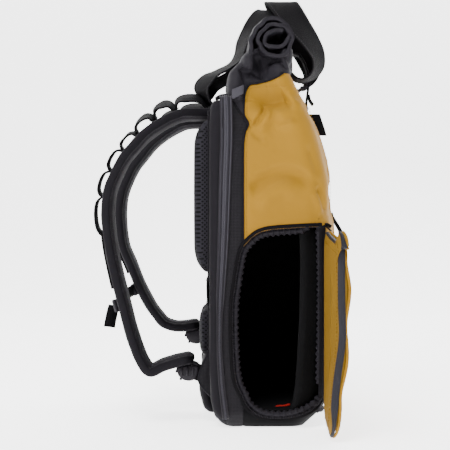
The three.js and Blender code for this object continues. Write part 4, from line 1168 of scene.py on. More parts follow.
def make_throat():
    heights = np.r_[np.arange(302, 344, 2.0), np.linspace(344, 349, 7), np.arange(350.5, 404, 1.5)]
    panel(
        "throat_cloth", heights, throat_part, throat_lift, SOFT_CLOTH_THICK,
        "throat", "boot_fabric", "collar",
    )
    make_roll()
    corners = [(-35, 348), (-34.6, 356.8), (-22.2, 361.8), (-22.6, 352.2), (-33.6, 346.6)]
    plate = even(corners + corners[:1], 1.5)[:-1]
    rings = []
    for lift, grow in ((0.2, 0.96), (0.6, 1), (1.6, 1), (2.0, 0.95)):
        rings.append(upright(grown(plate, grow), -side_y(-30.0, 352.0) - lift - 0.7))
    new_piece("throat_tab", loft(rings), "tape", "webbing", "collar_tab")


ROLL_TURNS = 2.45
ROLL_RADIUS = 23.0
ROLL_PITCH = 4.9
ROLL_HALF = 126
ROLL_CENTRE = (9.5, 412.0)


def make_roll():
    """The rolled end of the bag: one band of double cloth, pressed flatter towards its core."""
    turns = np.linspace(0, ROLL_TURNS, 150)
    angle = math.radians(215) - turns * 2 * math.pi
    tail = 7.5 * np.clip(1 - turns * 6, 0, 1) ** 2
    radius = ROLL_RADIUS - ROLL_PITCH * turns + tail
    flat = np.stack([radius * np.cos(angle), radius * np.sin(angle)], 1)
    tilt = math.radians(28)
    lean = np.array([-math.sin(tilt), math.cos(tilt)])
    press = 0.42 * ease(turns, 0.7, 2.2)
    flat -= (flat @ lean * press)[:, None] * lean
    flat += np.outer(ease(turns, 0.6, 1.6), (3.0, 1.2))
    across = np.linspace(-ROLL_HALF, ROLL_HALF, 90)
    grid = np.empty((len(across), len(flat), 3))
    grid[..., 0] = ROLL_CENTRE[0] + flat[None, :, 0]
    grid[..., 1] = across[:, None]
    grid[..., 2] = ROLL_CENTRE[1] + flat[None, :, 1]
    out = grid_normals(grid, False)
    spots = grid.reshape(-1, 3)
    soft = ripple(spots * (1, 0.45, 1), 13, 9) + 0.6 * ripple(spots, 6, 10)
    twist = np.sin(spots[:, 1] / 21 + 2 * ripple(spots, 50, 11) + spots[:, 0] / 9)
    end = ease(np.abs(spots[:, 1]), 95, ROLL_HALF)
    height = (1.2 * soft + 0.8 * twist + 1.2 * end * soft).reshape(grid.shape[:2])
    grid = grid + out * height[..., None]
    grid[..., 1] += (1.6 * ripple(spots * (1, 0.1, 1), 9, 12) * end).reshape(grid.shape[:2])
    thickened(new_piece("roll_cloth", sheet(grid), "throat", "boot_fabric", "roll_top"), 3.9)


HANDLE_SPREAD = 55.0
HANDLE_PEAK = 473.0
HANDLE_REACH = 64.0
HANDLE_WIDTH = 38.0
HANDLE_SEAM = 16.2

# Near half of each handle from its anchor: place ahead as a share of the reach, or None on the
# front of the bag, share of the spread, share of the peak and quarter turns of twist
FRONT_HANDLE = [
    (None, 1.00, 0.824, 0),
    (None, 1.00, 0.811, 0),
    (0.58, 1.00, 0.797, 0),
    (0.70, 1.00, 0.794, 0.05),
    (0.83, 1.00, 0.801, 0.1),
    (0.93, 0.99, 0.817, 0.2),
    (0.97, 0.96, 0.840, 0.3),
    (0.91, 0.88, 0.870, 0.45),
    (0.78, 0.74, 0.903, 0.6),
    (0.61, 0.55, 0.940, 0.75),
    (0.43, 0.26, 0.984, 0.9),
    (0.35, 0.00, 1.000, 1.0),
]
BACK_HANDLE = [
    (-0.80, 1.00, 0.7335, 0),
    (-0.90, 1.00, 0.7390, 0),
    (-1.00, 1.02, 0.757, -0.15),
    (-1.05, 1.02, 0.780, -0.35),
    (-0.93, 0.98, 0.803, -0.4),
    (-0.70, 0.93, 0.820, -0.35),
    (-0.49, 0.86, 0.839, -0.25),
    (-0.38, 0.77, 0.868, -0.2),
    (-0.29, 0.65, 0.902, -0.3),
    (-0.08, 0.50, 0.938, -0.62),
    (0.11, 0.25, 0.967, -0.88),
    (0.22, 0.00, 0.979, -1.0),
]


def handle_rows(rows):
    """Points and directions across a handle, from the near side over the peak to the far side."""
    half = []
    for ahead, side, up, turn in rows:
        y, z = side * HANDLE_SPREAD, up * HANDLE_PEAK
        x = float(front_x(y, z)) + 1.3 if ahead is None else ahead * HANDLE_REACH
        angle = turn * QUARTER_TURN
        half.append((x, -y, z, -math.sin(angle), -math.cos(angle), 0))
    far = [(x, -y, z, a, -b, 0) for x, y, z, a, b, _ in half[:-1]][::-1]
    return np.array(half + far)


def make_handles():
    for name, rows, node in (
        ("handle_front", FRONT_HANDLE, "front_handle"), ("handle_back", BACK_HANDLE, "back_handle"),
    ):
        table = handle_rows(rows)
        both = even(rounded(table, 14), 2.2)
        line, across = both[:, :3], both[:, 3:]
        _, side, out = frames(line, across)
        points, faces = ribbon(line, across, HANDLE_WIDTH, 1.9, rounded_section(0.022, 6))
        sag = 0.5 * ripple(points, 24, 13)
        points = points + np.stack([sag, 0 * sag, 0.6 * sag], 1)
        new_piece(name, (points, faces), "webbing", "webbing", node)
        parts = []
        for face in (1, -1):
            for edge in (-HANDLE_SEAM, HANDLE_SEAM):
                parts.append(stitches(line + side * edge + out * face, out * face, lift=0.1))
        new_piece(name + "_stitches", joined(parts), "thread", "webbing")


# Pads on the back

def blown(piece, cap, pressure=4.0, voxel=4.5, frames_run=20):
    """Remeshes a pad, swells it as cloth, holds every point within a distance of where it was
    and smooths it once."""
    add_modifier(piece, "REMESH", mode="VOXEL", voxel_size=voxel * MM, use_smooth_shade=True)
    mesh = piece.data
    before = np.empty(len(mesh.vertices) * 3)
    mesh.vertices.foreach_get("co", before)
    held = piece.modifiers.new("Cloth", "CLOTH")
    held.settings.use_pressure = True
    held.settings.uniform_pressure_force = pressure
    held.settings.effector_weights.gravity = 0
    held.settings.quality = 5
    scene = bpy.context.scene
    for number in range(1, frames_run + 1):
        scene.frame_set(number)
    graph = bpy.context.evaluated_depsgraph_get()
    evaluated = piece.evaluated_get(graph).to_mesh()
    after = np.empty(len(before))
    evaluated.vertices.foreach_get("co", after)
    piece.evaluated_get(graph).to_mesh_clear()
    piece.modifiers.remove(held)
    scene.frame_set(1)
    step = (after - before).reshape(-1, 3)
    size = np.linalg.norm(step, axis=1, keepdims=True)
    step *= np.minimum(1, cap * MM / np.maximum(size, 1e-9))
    mesh.vertices.foreach_set("co", before + step.reshape(-1))
    mesh.update()
    add_modifier(piece, "SMOOTH", factor=0.5, iterations=2)
    return add_modifier(piece, "SUBSURF", levels=1)


# How far a back pad swells at shares of its height
PAD_SWELL = [
    (0, 0.35), (0.05, 0.75), (0.14, 0.98), (0.5, 1), (0.86, 0.98), (0.95, 0.75), (1, 0.35),
]


def pad_block(low, high, half, thick, channel, groove):
    """Rings of a back pad, seen from behind, with an air channel down its middle."""
    rings = []
    for up, swell in PAD_SWELL:
        z = low + up * (high - low)
        root = float(level(z)[0])
        outer = root - 0.6 - swell * thick
        wide = half - (1 - swell) * 9
        run = [
            (root - 0.4, wide), (outer + swell * 4.5, wide), (outer + 0.8, wide - 5),
            (outer, wide - 10), (outer, channel + 6),
            (outer + swell * groove * 0.6, channel - 1), (outer + swell * groove, channel - 7),
        ]
        far = [(x, y, z) for x, y in run]
        near = [(x, -y, z) for x, y in run[::-1]]
        rings.append(far + near)
    return loft(rings)


def make_back_pads():
    pads = (
        ("back_pad_mesh", "back_pad", (160, 330, 104, 15.6, 20, 8), "mesh", "air_mesh", 2.0),
        ("lumbar_pad_mesh", "lumbar_pad", (66, 122, 71, 10.8, 20, 5), "mesh", "air_mesh", 1.5),
        ("lower_pad_cloth", "lower_pad", (6, 60, 97, 11.6, 20, 2), "binding", "black_fabric", 1.5),
    )
    for name, node, size, finish, slot, cap in pads:
        pad = new_piece(name, pad_block(*size), finish, slot, node)
        blown(pad, cap)
        low, high, half = size[:3]
        corners = (
            (-half - 1.2, low + 8), (-half - 1.2, high - 8), (-half + 8, high + 1.2),
            (half - 8, high + 1.2), (half + 1.2, high - 8), (half + 1.2, low + 8),
            (half - 8, low - 1.2), (-half + 8, low - 1.2),
        )
        rim = rounded([(float(level(z)[0]) - 1.4, y, z) for y, z in corners], 8, closed=True)
        piping = tube(np.vstack([rim, rim[:1]]), 1.5)
        new_piece(name + "_piping", piping, "binding", "black_fabric")
    sleeve = []
    for z in np.linspace(126, 156, 16):
        edge = abs(z - 141) / 15
        x = -60.4 - 0.9 * (1 - edge**4)
        y = np.linspace(-108.5, 108.5, 90)
        sag = 0.35 * np.sin(y / 17 + z / 9)
        sleeve.append(np.stack([x + sag, y, np.full(90, z) + 0.4 * np.sin(y / 31)], 1))
    grid = np.array(sleeve)
    band = new_piece("luggage_band", sheet(grid), "ballistic", "black_fabric", "luggage_sleeve")
    thickened(band, SOFT_CLOTH_THICK)
    rows = [
        stitches([(-62.3, y, z) for y in np.linspace(-106, 106, 40)], (-1.0, 0, 0), lift=0.2)
        for z in (128.5, 153.5)
    ]
    new_piece("luggage_band_stitches", joined(rows), "thread", "black_fabric")
    for name, side in SIDES:
        make_wing(name, side)


WING_PLACE = 107.2


def make_wing(name, side):
    """The three-cornered gusset that carries the lower webbing."""
    edge = rounded([(-57, 84), (-65.6, 63), (-69.6, 54), (-69.8, 45), (-65.2, 38), (-57, 29)], 6)
    rings = []
    for share in np.linspace(0, 1, 9):
        flat = np.stack([-57 + (edge[:, 0] + 57) * share, edge[:, 1]], 1)
        belly = np.sin(share * math.pi) * np.sin((edge[:, 1] - 29) / 55 * math.pi)
        y = side * (WING_PLACE + 0.6 * belly)
        rings.append(upright(flat, y))
    cloth = sheet(np.array(rings))
    wing = new_piece("wing_" + name, cloth, "ballistic", "black_fabric", "lower_wing_" + name)
    thickened(wing, 2.0)
    line = upright(edge, side * WING_PLACE)
    new_piece("wing_binding_" + name, tube(line, 1.4), "binding", "black_fabric")


# Shoulder straps

STRAP_REACH = 112.0
STRAP_TOP = 339.5
STRAP_DROP = 288.0
STRAP_SPREAD = 90.0
STRAP_WIDTH = 62.0
STRAP_THICK = 13.0
LOOPS = 7
LOOP_PITCH = 1.36
LOOPS_FROM = 0.1
CHEST_PLACE = 12.0

# Width and thickness of the chest strap's webbing and of the closing strap's
CHEST_WEB = (14.0, 1.7)
CLOSURE_WEB = (20.0, 1.8)

# A strap from its anchor: shares of its reach, drop, spread and width
STRAP_UPPER = [
    (0.00, 0.005, 0.55, 0.85), (0.25, 0.010, 0.60, 1), (0.39, 0.028, 0.65, 1),
    (0.53, 0.060, 0.70, 1), (0.65, 0.098, 0.75, 1), (0.755, 0.145, 0.80, 1),
    (0.845, 0.190, 0.84, 1), (0.92, 0.247, 0.87, 1), (0.98, 0.312, 0.89, 1),
    (1.00, 0.400, 0.90, 1), (0.965, 0.520, 0.92, 1),
]
STRAP_LOWER = {
    "near": [
        (0.893, 0.650, 0.94, 1), (0.835, 0.735, 0.96, 1), (0.79, 0.805, 0.97, 0.97),
        (0.73, 0.880, 0.98, 0.94), (0.655, 0.950, 1.00, 0.9), (0.575, 0.985, 1.00, 0.88),
        (0.45, 0.965, 1.00, 0.85), (0.28, 0.945, 1.00, 0.8), (0.165, 0.937, 1.00, 0.7),
    ],
    "far": [
        (0.875, 0.610, 0.94, 1), (0.78, 0.700, 0.96, 1), (0.68, 0.775, 0.97, 0.97),
        (0.60, 0.820, 0.98, 0.94), (0.52, 0.855, 1.00, 0.9), (0.42, 0.870, 1.00, 0.88),
        (0.33, 0.872, 1.00, 0.85), (0.24, 0.868, 1.00, 0.8), (0.14, 0.860, 1.00, 0.7),
    ],
}


def strap_rows(name, side):
    """Points and widths of a strap at its rows."""
    return np.array([
        (-REAR_DEPTH - 0.3 - out * STRAP_REACH, side * spread * STRAP_SPREAD,
         STRAP_TOP - drop * STRAP_DROP, STRAP_WIDTH * wide)
        for out, drop, spread, wide in STRAP_UPPER + STRAP_LOWER[name]
    ])


def strap_at(rows, places):
    """Points, directions and widths of a strap at places counted in rows."""
    steps = 24
    line = rounded(rows, steps)
    run = np.arange(len(line)) / steps
    at, ahead, behind = (
        np.stack([np.interp(np.add(places, step), run, line[:, k]) for k in range(4)], 1)
        for step in (0, 0.05, -0.05)
    )
    along = unit((ahead - behind)[:, :3])
    across = unit(np.array([0, -1.0, 0]) - along * (along @ np.array([0, -1.0, 0]))[:, None])
    return at[:, :3], along, across, np.cross(along, across), at[:, 3]


def make_straps():
    for name, side in SIDES:
        rows = strap_rows(name, side)
        last = len(rows) - 1.0
        places = np.linspace(0, last, 190)
        at, _, across, out, width = strap_at(rows, places)
        turn = np.linspace(0, FULL_TURN, 44, endpoint=False)
        u = 0.5 * np.sign(np.cos(turn)) * np.abs(np.cos(turn)) ** 0.55
        v = 0.5 * np.sign(np.sin(turn)) * np.abs(np.sin(turn)) ** 0.75
        close = np.minimum(1.0, (last - places) / 0.7)
        blunt = 0.4 + 0.6 * np.sqrt(1 - (1 - close) ** 2)
        rings = []
        for k in range(len(places)):
            valley = 0.16 * np.exp(-((np.abs(u) - 0.36) / 0.035) ** 2) * np.sign(v)
            crown = 0.05 * (1 - (2 * u) ** 2) * np.sign(v)
            rings.append(
                at[k] + across[k] * (u * (width[k] - 3) * blunt[k])[:, None]
                + out[k] * ((v - valley + crown) * STRAP_THICK * 0.94 * blunt[k] ** 0.6)[:, None]
            )
        grid = np.array(rings)
        spots = grid.reshape(-1, 3)
        soft = ripple(spots, 26, 14 + side) + 0.5 * ripple(spots, 10, 16)
        grid = grid + grid_normals(grid, True) * (0.45 * soft).reshape(grid.shape[:2])[..., None]
        node = "shoulder_strap_" + name
        new_piece("strap_foam_" + name, loft(grid), "foam", "black_fabric", node)
        edges = []
        for end in (-1, 1):
            rim = at + across * (end * (width * blunt / 2 - 1.4))[:, None]
            for face in (-1, 1):
                edges.append(tube(even(rim + out * (face * 2.6 * blunt)[:, None], 3), 1.7, 8))
            edges.append(ribbon(rim + across * end * 0.9, out, 7.0 * blunt, 1.6))
        new_piece("strap_binding_" + name, joined(edges), "binding", "black_fabric")
        seams = []
        for end in (-1, 1):
            for face in (-1, 1):
                run = at + across * (end * 0.36 * (width - 3))[:, None]
                run = run + out * face * (STRAP_THICK * 0.4)
                seams.append(stitches(run[6:-4], out[6:-4] * face, lift=0.1))
        new_piece("strap_stitches_" + name, joined(seams), "thread", "black_fabric")
        make_loops(rows, name)


def make_loops(rows, name):
    """Webbing sewn down a strap, standing up in an open loop between each pair of tacks."""
    steps = 26
    count = LOOPS * steps
    places = LOOPS_FROM + np.arange(count + 1) * LOOP_PITCH / steps
    share = (np.arange(count + 1) % steps) / steps
    loop = np.arange(count + 1) / steps
    peak = np.interp(loop, (0, 2, 3, 5, LOOPS), (11.6, 11.2, 8.2, 6.4, 5.8))
    raised = peak * np.sin(math.pi * share) ** 0.75
    bulge = 0.1 * np.sin(2 * math.pi * share) * (raised / peak) * LOOP_PITCH
    places = np.r_[places - bulge, places[-1] + np.linspace(0.1, 1.6, 16)]
    raised = np.r_[raised, np.zeros(16)]
    at, _, _, out, _ = strap_at(rows, places)
    line = at + out * (STRAP_THICK / 2 + 1.1 + raised)[:, None]
    fine = rounded(line, 2)
    turned = np.interp(np.arange(len(fine)) / 2 / steps, (0, 2, 4), (0.5, 0.4, 0.1))
    across = np.stack([0 * turned, -np.ones(len(fine)), -turned], 1)
    web("strap_loops_" + name, fine, across, 24.0, 2.3, "strap_loops_" + name)
    bars = []
    for k in range(LOOPS + 1):
        spot, a, s, o, _ = strap_at(rows, [LOOPS_FROM + k * LOOP_PITCH])
        centre = spot + o * (STRAP_THICK / 2 + 2.0)
        for shift in (-1.0, 1.0):
            run = np.linspace(-10.5, 10.5, 15)[:, None] * s + centre + a * shift
            shape, polygons = pill(3.2, 0.9, 0.9)
            n = len(run)
            turned = [np.repeat(way, n, 0) for way in (s, a, o)]
            bars.append(strewn(run, *turned, shape, polygons))
    new_piece("loop_tacks_" + name, joined(bars), "thread", "webbing")


def softened(node, name, width):
    """A moulded piece with its edges rounded, in the place of its solid."""
    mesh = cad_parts[node].data.copy()
    mesh.name = name
    mesh.materials.clear()
    piece = linked(name, mesh, "plastic", "buckle_plastic", node)
    add_modifier(piece, "WELD", merge_threshold=0.00002)
    add_modifier(piece, "DECIMATE", decimate_type="DISSOLVE", angle_limit=math.radians(4))
    add_modifier(
        piece, "BEVEL", width=width * MM, segments=3, limit_method="ANGLE",
        angle_limit=math.radians(28),
    )
    piece.data.polygons.foreach_set("use_smooth", [True] * len(piece.data.polygons))


def make_chest_strap():
    clips = {}
    for name, side in SIDES:
        rows = strap_rows(name, side)
        at, along, across, out, _ = (part[0] for part in strap_at(rows, [CHEST_PLACE]))
        clips[name] = at + out * (STRAP_THICK / 2 + 0.3 + 2.5)
        softened("sternum_slider_" + name, "chest_slider_" + name, 1.2)
        ribs = []
        for shift in (-4.5, -1.5, 1.5, 4.5):
            run = np.linspace(-9, 9, 7)[:, None] * across + clips[name] + out * 2.6 + along * shift
            ribs.append(tube(run, 0.7, 6))
        new_piece("chest_slider_ribs_" + name, joined(ribs), "plastic", "buckle_plastic")
    middle = (clips["near"] + clips["far"]) / 2 + (-6, 0, 0)
    for name, side in SIDES:
        start = clips[name] + (0, -side * 8.0, 0)
        stop = middle + (0, side * 14.0, 0)
        sag = (start + stop) / 2 + (-1.5, 0, -1.0)
        line = rounded([start, sag, stop], 16)
        web("chest_webbing_" + name, line, (0, 0, 1), *CHEST_WEB, "sternum_strap_" + name)
    make_clasp(middle)
    clip = clips["near"]
    drop = [(0, 0), (-1.9, -6), (-3.6, -14), (-5.4, -23.5)]
    tail = rounded([clip + (x - 2.4, 0, z) for x, z in drop], 8)
    web("chest_tail", tail, (-1, -0.7, 0), *CHEST_WEB, "sternum_tail")


# Rings of a buckle half: share of its length, of its height and of its depth
CLASP_RINGS = [
    (0, 0.62, 0.55), (0.06, 0.72, 0.8), (0.3, 0.9, 1), (0.75, 1, 1), (0.94, 0.98, 0.9),
    (1, 0.9, 0.7),
]


def make_clasp(middle):
    """The closed side-release buckle of the chest strap."""
    parts = []
    for half, length, height in ((-1, 20.5, 23.0), (1, 16.5, 21.0)):
        rings = []
        for share, tall, deep in CLASP_RINGS:
            y = half * (19.0 - share * length)
            section = oval_section(5, 28)
            ring = [
                middle + (8.4 * deep * v, y, height * tall * u) for u, v in section
            ]
            rings.append(ring if half < 0 else ring[::-1])
        parts.append(loft(rings))
    for z in (-8.6, 8.6):
        bow = ((-4, 1.0), (1, 1.25), (6, 1.16), (9, 0.85))
        prong = rounded([middle + (-0.4, y, z * s) for y, s in bow], 5)
        parts.append(tube(prong, 2.1, 10))
    for z in (-5.2, 0.0, 5.2):
        rib = rounded([middle + (-4.5, -12, z), middle + (-4.9, -8, z), middle + (-4.5, -3, z)], 4)
        parts.append(tube(rib, 0.9, 8))
    new_piece("chest_buckle", joined(parts), "plastic", "buckle_plastic", "sternum_buckle")


def make_lower_straps():
    for name, side in SIDES:
        rows = strap_rows(name, side)
        middle = (rows[-2, :3] + rows[-1, :3]) / 2
        softened("ladder_lock_" + name, "ladder_lock_" + name, 1.4)
        top = middle[2] - 3.5
        bars = []
        for x, z in ((6.5, -14.5), (1.0, -18.4), (-6.5, -17.6), (-11.0, -9.5)):
            run = np.array([middle + (x, y, 0) for y in (-13.6, -7, 0, 7, 13.6)])
            run[:, 2] = top + z
            bars.append(tube(run, 1.5, 8))
        wave = rounded([(-12, -1.0), (-6, 0.4), (0, -1.0), (6, 0.2), (12, -2.2)], 6)
        tab = upright(wave + (middle[0], top - 1.6), middle[1])
        bars.append(ribbon(tab, (0, 1, 0), 22.0, 2.6))
        for x in (-5.5, 0.5, 6.5):
            spot = middle[:2] + (x, side * 14.3)
            bars.append(tube(np.array([(*spot, top - down) for down in (3.5, 9, 14.5)]), 1.5, 8))
        new_piece("ladder_lock_bars_" + name, joined(bars), "plastic", "buckle_plastic")
        low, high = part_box("lower_webbing_" + name)
        low, high = np.array(low) / MM, np.array(high) / MM
        z = (low[2] + high[2]) / 2
        y = side * 100.5
        start = (middle[0] + 7, middle[1] + side * 6.0, top - 9.5)
        stop = (-62.8, side * 104.6, z - 0.5)
        sag = ((start[0] + stop[0]) / 2, y, (start[2] + stop[2]) / 2 - 0.6)
        line = rounded([start, sag, stop], 14)
        web("lower_webbing_" + name, line, (0, 0, 1), 19.0, 1.7, "lower_webbing_" + name)


# Front

def make_front_hardware():
    foot = float(front_x(0, 345.0)) + 1.2
    strap = rounded([
        (foot + 0.2, 0, 346), (foot - 0.4, 0, 356), (foot + 1.6, 0, 372), (foot + 2.0, 0, 386),
        (foot - 3.0, 0, 402), (foot - 9.0, 0, 411), (foot - 17, 0, 413.5),
    ], 8)
    web("closure_webbing", strap, (0, -1, 0), *CLOSURE_WEB, "closure_strap")
    hook_x, hook_z = 49.2, 376.5
    turn = np.linspace(-0.8 * math.pi, 0.62 * math.pi, 26)
    parts = []
    for y in np.linspace(-7.4, 7.4, 5):
        run = np.stack([hook_x + 4.1 * np.cos(turn), hook_z + 4.1 * np.sin(turn)], 1)
        parts.append(tube(upright(run, y), 1.9, 8))
    new_piece("closure_hook_metal", joined(parts), "plastic", "buckle_plastic", "closure_hook")
    tail = rounded([(foot + 2.2, 0, 365), (foot + 3.6, 0, 359), (foot + 7.4, 0, 353.5)], 8)
    web("closure_end", tail, (0, -1, 0), *CLOSURE_WEB, "closure_tail")
    heights = np.linspace(318, 343, 14)
    face = front_x(np.zeros(14), heights)
    ahead = face + np.linspace(11.6, 15.0, 14)
    outline = np.vstack([
        np.stack([face + 0.8, heights], 1), np.stack([ahead, heights], 1)[::-1],
    ])
    rings = []
    for y, grow in ((-2.0, 0.94), (-1.6, 1.0), (0, 1.01), (1.6, 1.0), (2.0, 0.94)):
        rings.append(upright(grown(outline, grow), y))
    new_piece("gear_loop_webbing", loft(rings), "webbing", "webbing", "gear_loop")
    top = float(front_x(0, 228.0)) + 2.4
    bow = ((0, 228), (1.4, 223), (8.5, 211), (16.3, 197.4))
    pull = rounded([(top + ahead, 0, z) for ahead, z in bow], 10)
    grow = np.linspace(0, 1, len(pull))
    edge = rounded_section(0.1, 7)
    shape = ribbon(pull, (0, -1, 0), 12.5 + 1.5 * grow, 3.2 + 0.8 * grow, edge)
    new_piece("front_pull_tab", shape, "webbing", "webbing", "front_pull")


# Floor, light and camera

CAMERA_PLACE = (-0.042, -1.390, 0.2137)
FIELD_OF_VIEW = 21.4
SENSOR = 36.0
BACKDROP_GLOW = 2.6
SKY_LIGHT = 0.3
BEND = 1.6

# Lamps: name, place, target, size and power
LAMPS = [
    ("key", (-0.5, -1.1, 1.9), (0, 0, 0.25), 0.8, 44),
    ("top", (-0.3, -0.2, 1.7), (0, 0, 0.2), 1.2, 14),
    ("left", (-1.6, -0.9, 0.7), (-0.05, 0, 0.22), 0.9, 10),
    ("back", (0.9, 1.5, 1.2), (0, 0, 0.25), 1.2, 12),
]


def make_stage():
    scene = bpy.context.scene
    colours = scene.bag_colours
    turn = np.linspace(0, QUARTER_TURN, 48)[:, None]
    bend = np.hstack([0 * turn, 1.2 + BEND * np.sin(turn), BEND - BEND * np.cos(turn)])
    line = np.vstack([[(0, -14.0, 0)], bend, [(0, 2.8, 6.0)]])
    grid = np.stack([line + (x, 0, 0) for x in np.linspace(-14, 14, 9)])
    mesh = bpy.data.meshes.new("floor")
    mesh.from_pydata(grid.reshape(-1, 3).tolist(), [], grid_faces(*grid.shape[:2]).tolist())
    mesh.polygons.foreach_set("use_smooth", [True] * len(mesh.polygons))
    paper = Finish("backdrop_paper", 0.9)
    spot, _ = paper.place()
    tone = paper.clouds(spot, 900.0, 1.0)
    paper.feed("Base Color", paper.blend(tone, shade(colours.floor, 0.99), colours.floor))
    paper.shader.inputs["Emission Color"].default_value = (1, 1, 1, 1)
    paper.shader.inputs["Emission Strength"].default_value = BACKDROP_GLOW
    mesh.materials.append(paper.material)
    floor = bpy.data.objects.new("floor", mesh)
    scene.collection.objects.link(floor)
    world = bpy.data.worlds.new("studio")
    world.use_nodes = True
    world.node_tree.nodes["Background"].inputs["Color"].default_value = (1, 1, 1, 1)
    world.node_tree.nodes["Background"].inputs["Strength"].default_value = SKY_LIGHT
    scene.world = world
    for name, place, target, size, watts in LAMPS:
        light = bpy.data.lights.new(name, "AREA")
        light.energy = watts
        light.size = size
        lamp = bpy.data.objects.new(name, light)
        lamp.location = place
        aim = Vector(target) - Vector(place)
        lamp.rotation_euler = aim.to_track_quat("-Z", "Y").to_euler()
        scene.collection.objects.link(lamp)
    camera = bpy.data.cameras.new("camera")
    camera.sensor_width = SENSOR
    camera.lens = SENSOR / 2 / math.tan(math.radians(FIELD_OF_VIEW) / 2)
    view = bpy.data.objects.new("camera", camera)
    view.location = CAMERA_PLACE
    view.rotation_euler = (QUARTER_TURN, 0, 0)
    scene.collection.objects.link(view)
    scene.camera = view


# Settings, operators and panel

def sized(name, description, default, low, high):
    return FloatProperty(
        name=name, description=description, default=default, min=low, max=high, unit="NONE",
    )


def coloured(name, description, default):
    return FloatVectorProperty(
        name=name, description=description, default=default, min=0, max=1, size=3,
        subtype="COLOR",
    )


class BagSizes(bpy.types.PropertyGroup):
    """Sizes of the bag's patterns that can be changed."""

    pattern_step: sized("Pattern step", "Height between two rows of a panel, in mm", 2.0, 1, 6)
    fold_depth: sized("Fold depth", "Share of the usual depth of the shell's folds", 1.9, 0, 3)


class BagColours(bpy.types.PropertyGroup):
    """Colours of the bag's cloths, webbing and fastenings."""

    shell: coloured("Shell", "Coated cloth of the front and sides", (0.245, 0.124, 0.0084))
    facing: coloured("Facing", "Woven cloth of the door's inner face", (0.155, 0.082, 0.0064))
    black: coloured("Harness", "Cloth of the back, straps and bindings", (0.0076, 0.0068, 0.0086))
    strap: coloured("Straps", "Cloth of the shoulder straps", (0.023, 0.021, 0.0245))
    boot: coloured("Boot", "Coated cloth of the base", (0.001, 0.0009, 0.0014))
    throat: coloured("Throat", "Soft cloth of the rolled top", (0.011, 0.0098, 0.0128))
    webbing: coloured("Webbing", "Webbing of handles, loops and straps", (0.0036, 0.0032, 0.004))
    tape: coloured("Zip tape", "Tape and coil of the zips", (0.036, 0.034, 0.042))
    mesh: coloured("Air mesh", "Spacer mesh of the back pads", (0.0115, 0.0107, 0.0138))
    lining: coloured("Lining", "Lining of the camera compartment", (0.0028, 0.0028, 0.0033))
    plastic: coloured("Buckles", "Buckles, sliders and hook", (0.014, 0.0125, 0.0155))
    thread: coloured("Thread", "Stitches on the black cloths", (0.022, 0.02, 0.023))
    red: coloured("Pull", "Small pull on the compartment's floor", (0.33, 0.012, 0.01))
    floor: coloured("Floor", "Floor and backdrop", (0.95, 0.95, 0.95))


class BAG_OT_stage(bpy.types.Operator):
    """Set the floor, lights and camera"""

    bl_idname = "bag.stage"
    bl_label = "Floor, light and camera"

    def execute(self, context):
        make_stage()
        return {"FINISHED"}


class BAG_OT_body(bpy.types.Operator):
    """Sew the shell, base and harness cloth over the body"""

    bl_idname = "bag.body"
    bl_label = "Body"

    def execute(self, context):
        make_body()
        return {"FINISHED"}


class BAG_OT_laptop_zip(bpy.types.Operator):
    """Lay the long zip round the harness section"""

    bl_idname = "bag.laptop_zip"
    bl_label = "Laptop zip"

    def execute(self, context):
        make_laptop_zip()
        return {"FINISHED"}


class BAG_OT_compartment(bpy.types.Operator):
    """Line the side opening and its camera compartment"""

    bl_idname = "bag.compartment"
    bl_label = "Camera compartment"

    def execute(self, context):
        make_compartment()
        return {"FINISHED"}


class BAG_OT_door(bpy.types.Operator):
    """Hang the padded side door with its zip"""

    bl_idname = "bag.door"
    bl_label = "Side door"

    def execute(self, context):
        make_door()
        return {"FINISHED"}


class BAG_OT_throat(bpy.types.Operator):
    """Gather the throat and roll its end down"""

    bl_idname = "bag.throat"
    bl_label = "Throat and roll"

    def execute(self, context):
        make_throat()
        return {"FINISHED"}


class BAG_OT_handles(bpy.types.Operator):
    """Sew on the two carrying handles"""

    bl_idname = "bag.handles"
    bl_label = "Handles"

    def execute(self, context):
        make_handles()
        return {"FINISHED"}


class BAG_OT_back_pads(bpy.types.Operator):
    """Fill the pads on the back, with the luggage band and gussets"""

    bl_idname = "bag.back_pads"
    bl_label = "Back pads"

    def execute(self, context):
        make_back_pads()
        return {"FINISHED"}


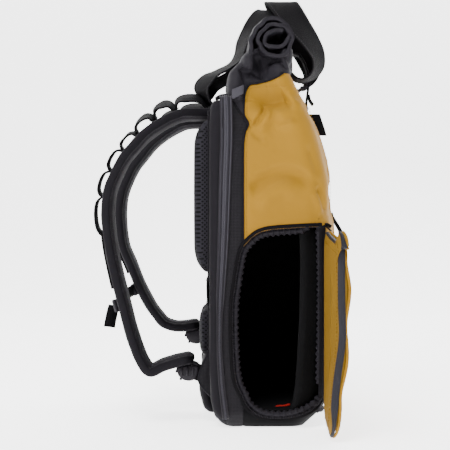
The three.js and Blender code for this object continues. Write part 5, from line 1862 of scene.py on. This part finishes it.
class BAG_OT_straps(bpy.types.Operator):
    """Make the shoulder straps with their webbing loops"""

    bl_idname = "bag.straps"
    bl_label = "Shoulder straps"

    def execute(self, context):
        make_straps()
        return {"FINISHED"}


class BAG_OT_chest_strap(bpy.types.Operator):
    """Join the straps with the chest strap and its buckle"""

    bl_idname = "bag.chest_strap"
    bl_label = "Chest strap"

    def execute(self, context):
        make_chest_strap()
        return {"FINISHED"}


class BAG_OT_lower_straps(bpy.types.Operator):
    """Hang the ladder locks and lower webbing under the straps"""

    bl_idname = "bag.lower_straps"
    bl_label = "Lower straps"

    def execute(self, context):
        make_lower_straps()
        return {"FINISHED"}


class BAG_OT_front_hardware(bpy.types.Operator):
    """Add the closing strap, hook, gear loop and pull on the front"""

    bl_idname = "bag.front_hardware"
    bl_label = "Front fastenings"

    def execute(self, context):
        make_front_hardware()
        return {"FINISHED"}


OPERATORS = (
    BAG_OT_stage, BAG_OT_body, BAG_OT_laptop_zip, BAG_OT_compartment, BAG_OT_door, BAG_OT_throat,
    BAG_OT_handles, BAG_OT_back_pads, BAG_OT_straps, BAG_OT_chest_strap, BAG_OT_lower_straps,
    BAG_OT_front_hardware,
)


class BAG_PT_backpack(bpy.types.Panel):
    """Sizes, colours and pieces of the backpack"""

    bl_label = "Backpack"
    bl_space_type = "VIEW_3D"
    bl_region_type = "UI"
    bl_category = "Backpack"

    def draw(self, context):
        scene = context.scene
        for group in (scene.bag_sizes, scene.bag_colours):
            column = self.layout.column(align=True)
            for name in group.__annotations__:
                column.prop(group, name)
        column = self.layout.column(align=True)
        for operator in OPERATORS:
            column.operator(operator.bl_idname)


CLASSES = (BagSizes, BagColours, *OPERATORS, BAG_PT_backpack)


def register():
    for item in CLASSES:
        bpy.utils.register_class(item)
    bpy.types.Scene.bag_sizes = PointerProperty(type=BagSizes)
    bpy.types.Scene.bag_colours = PointerProperty(type=BagColours)


def unregister():
    del bpy.types.Scene.bag_colours
    del bpy.types.Scene.bag_sizes
    for item in reversed(CLASSES):
        bpy.utils.unregister_class(item)


def main():
    register()
    for operator in OPERATORS:
        getattr(bpy.ops.bag, operator.bl_idname.split(".")[1])()


if __name__ == "__main__":
    main()
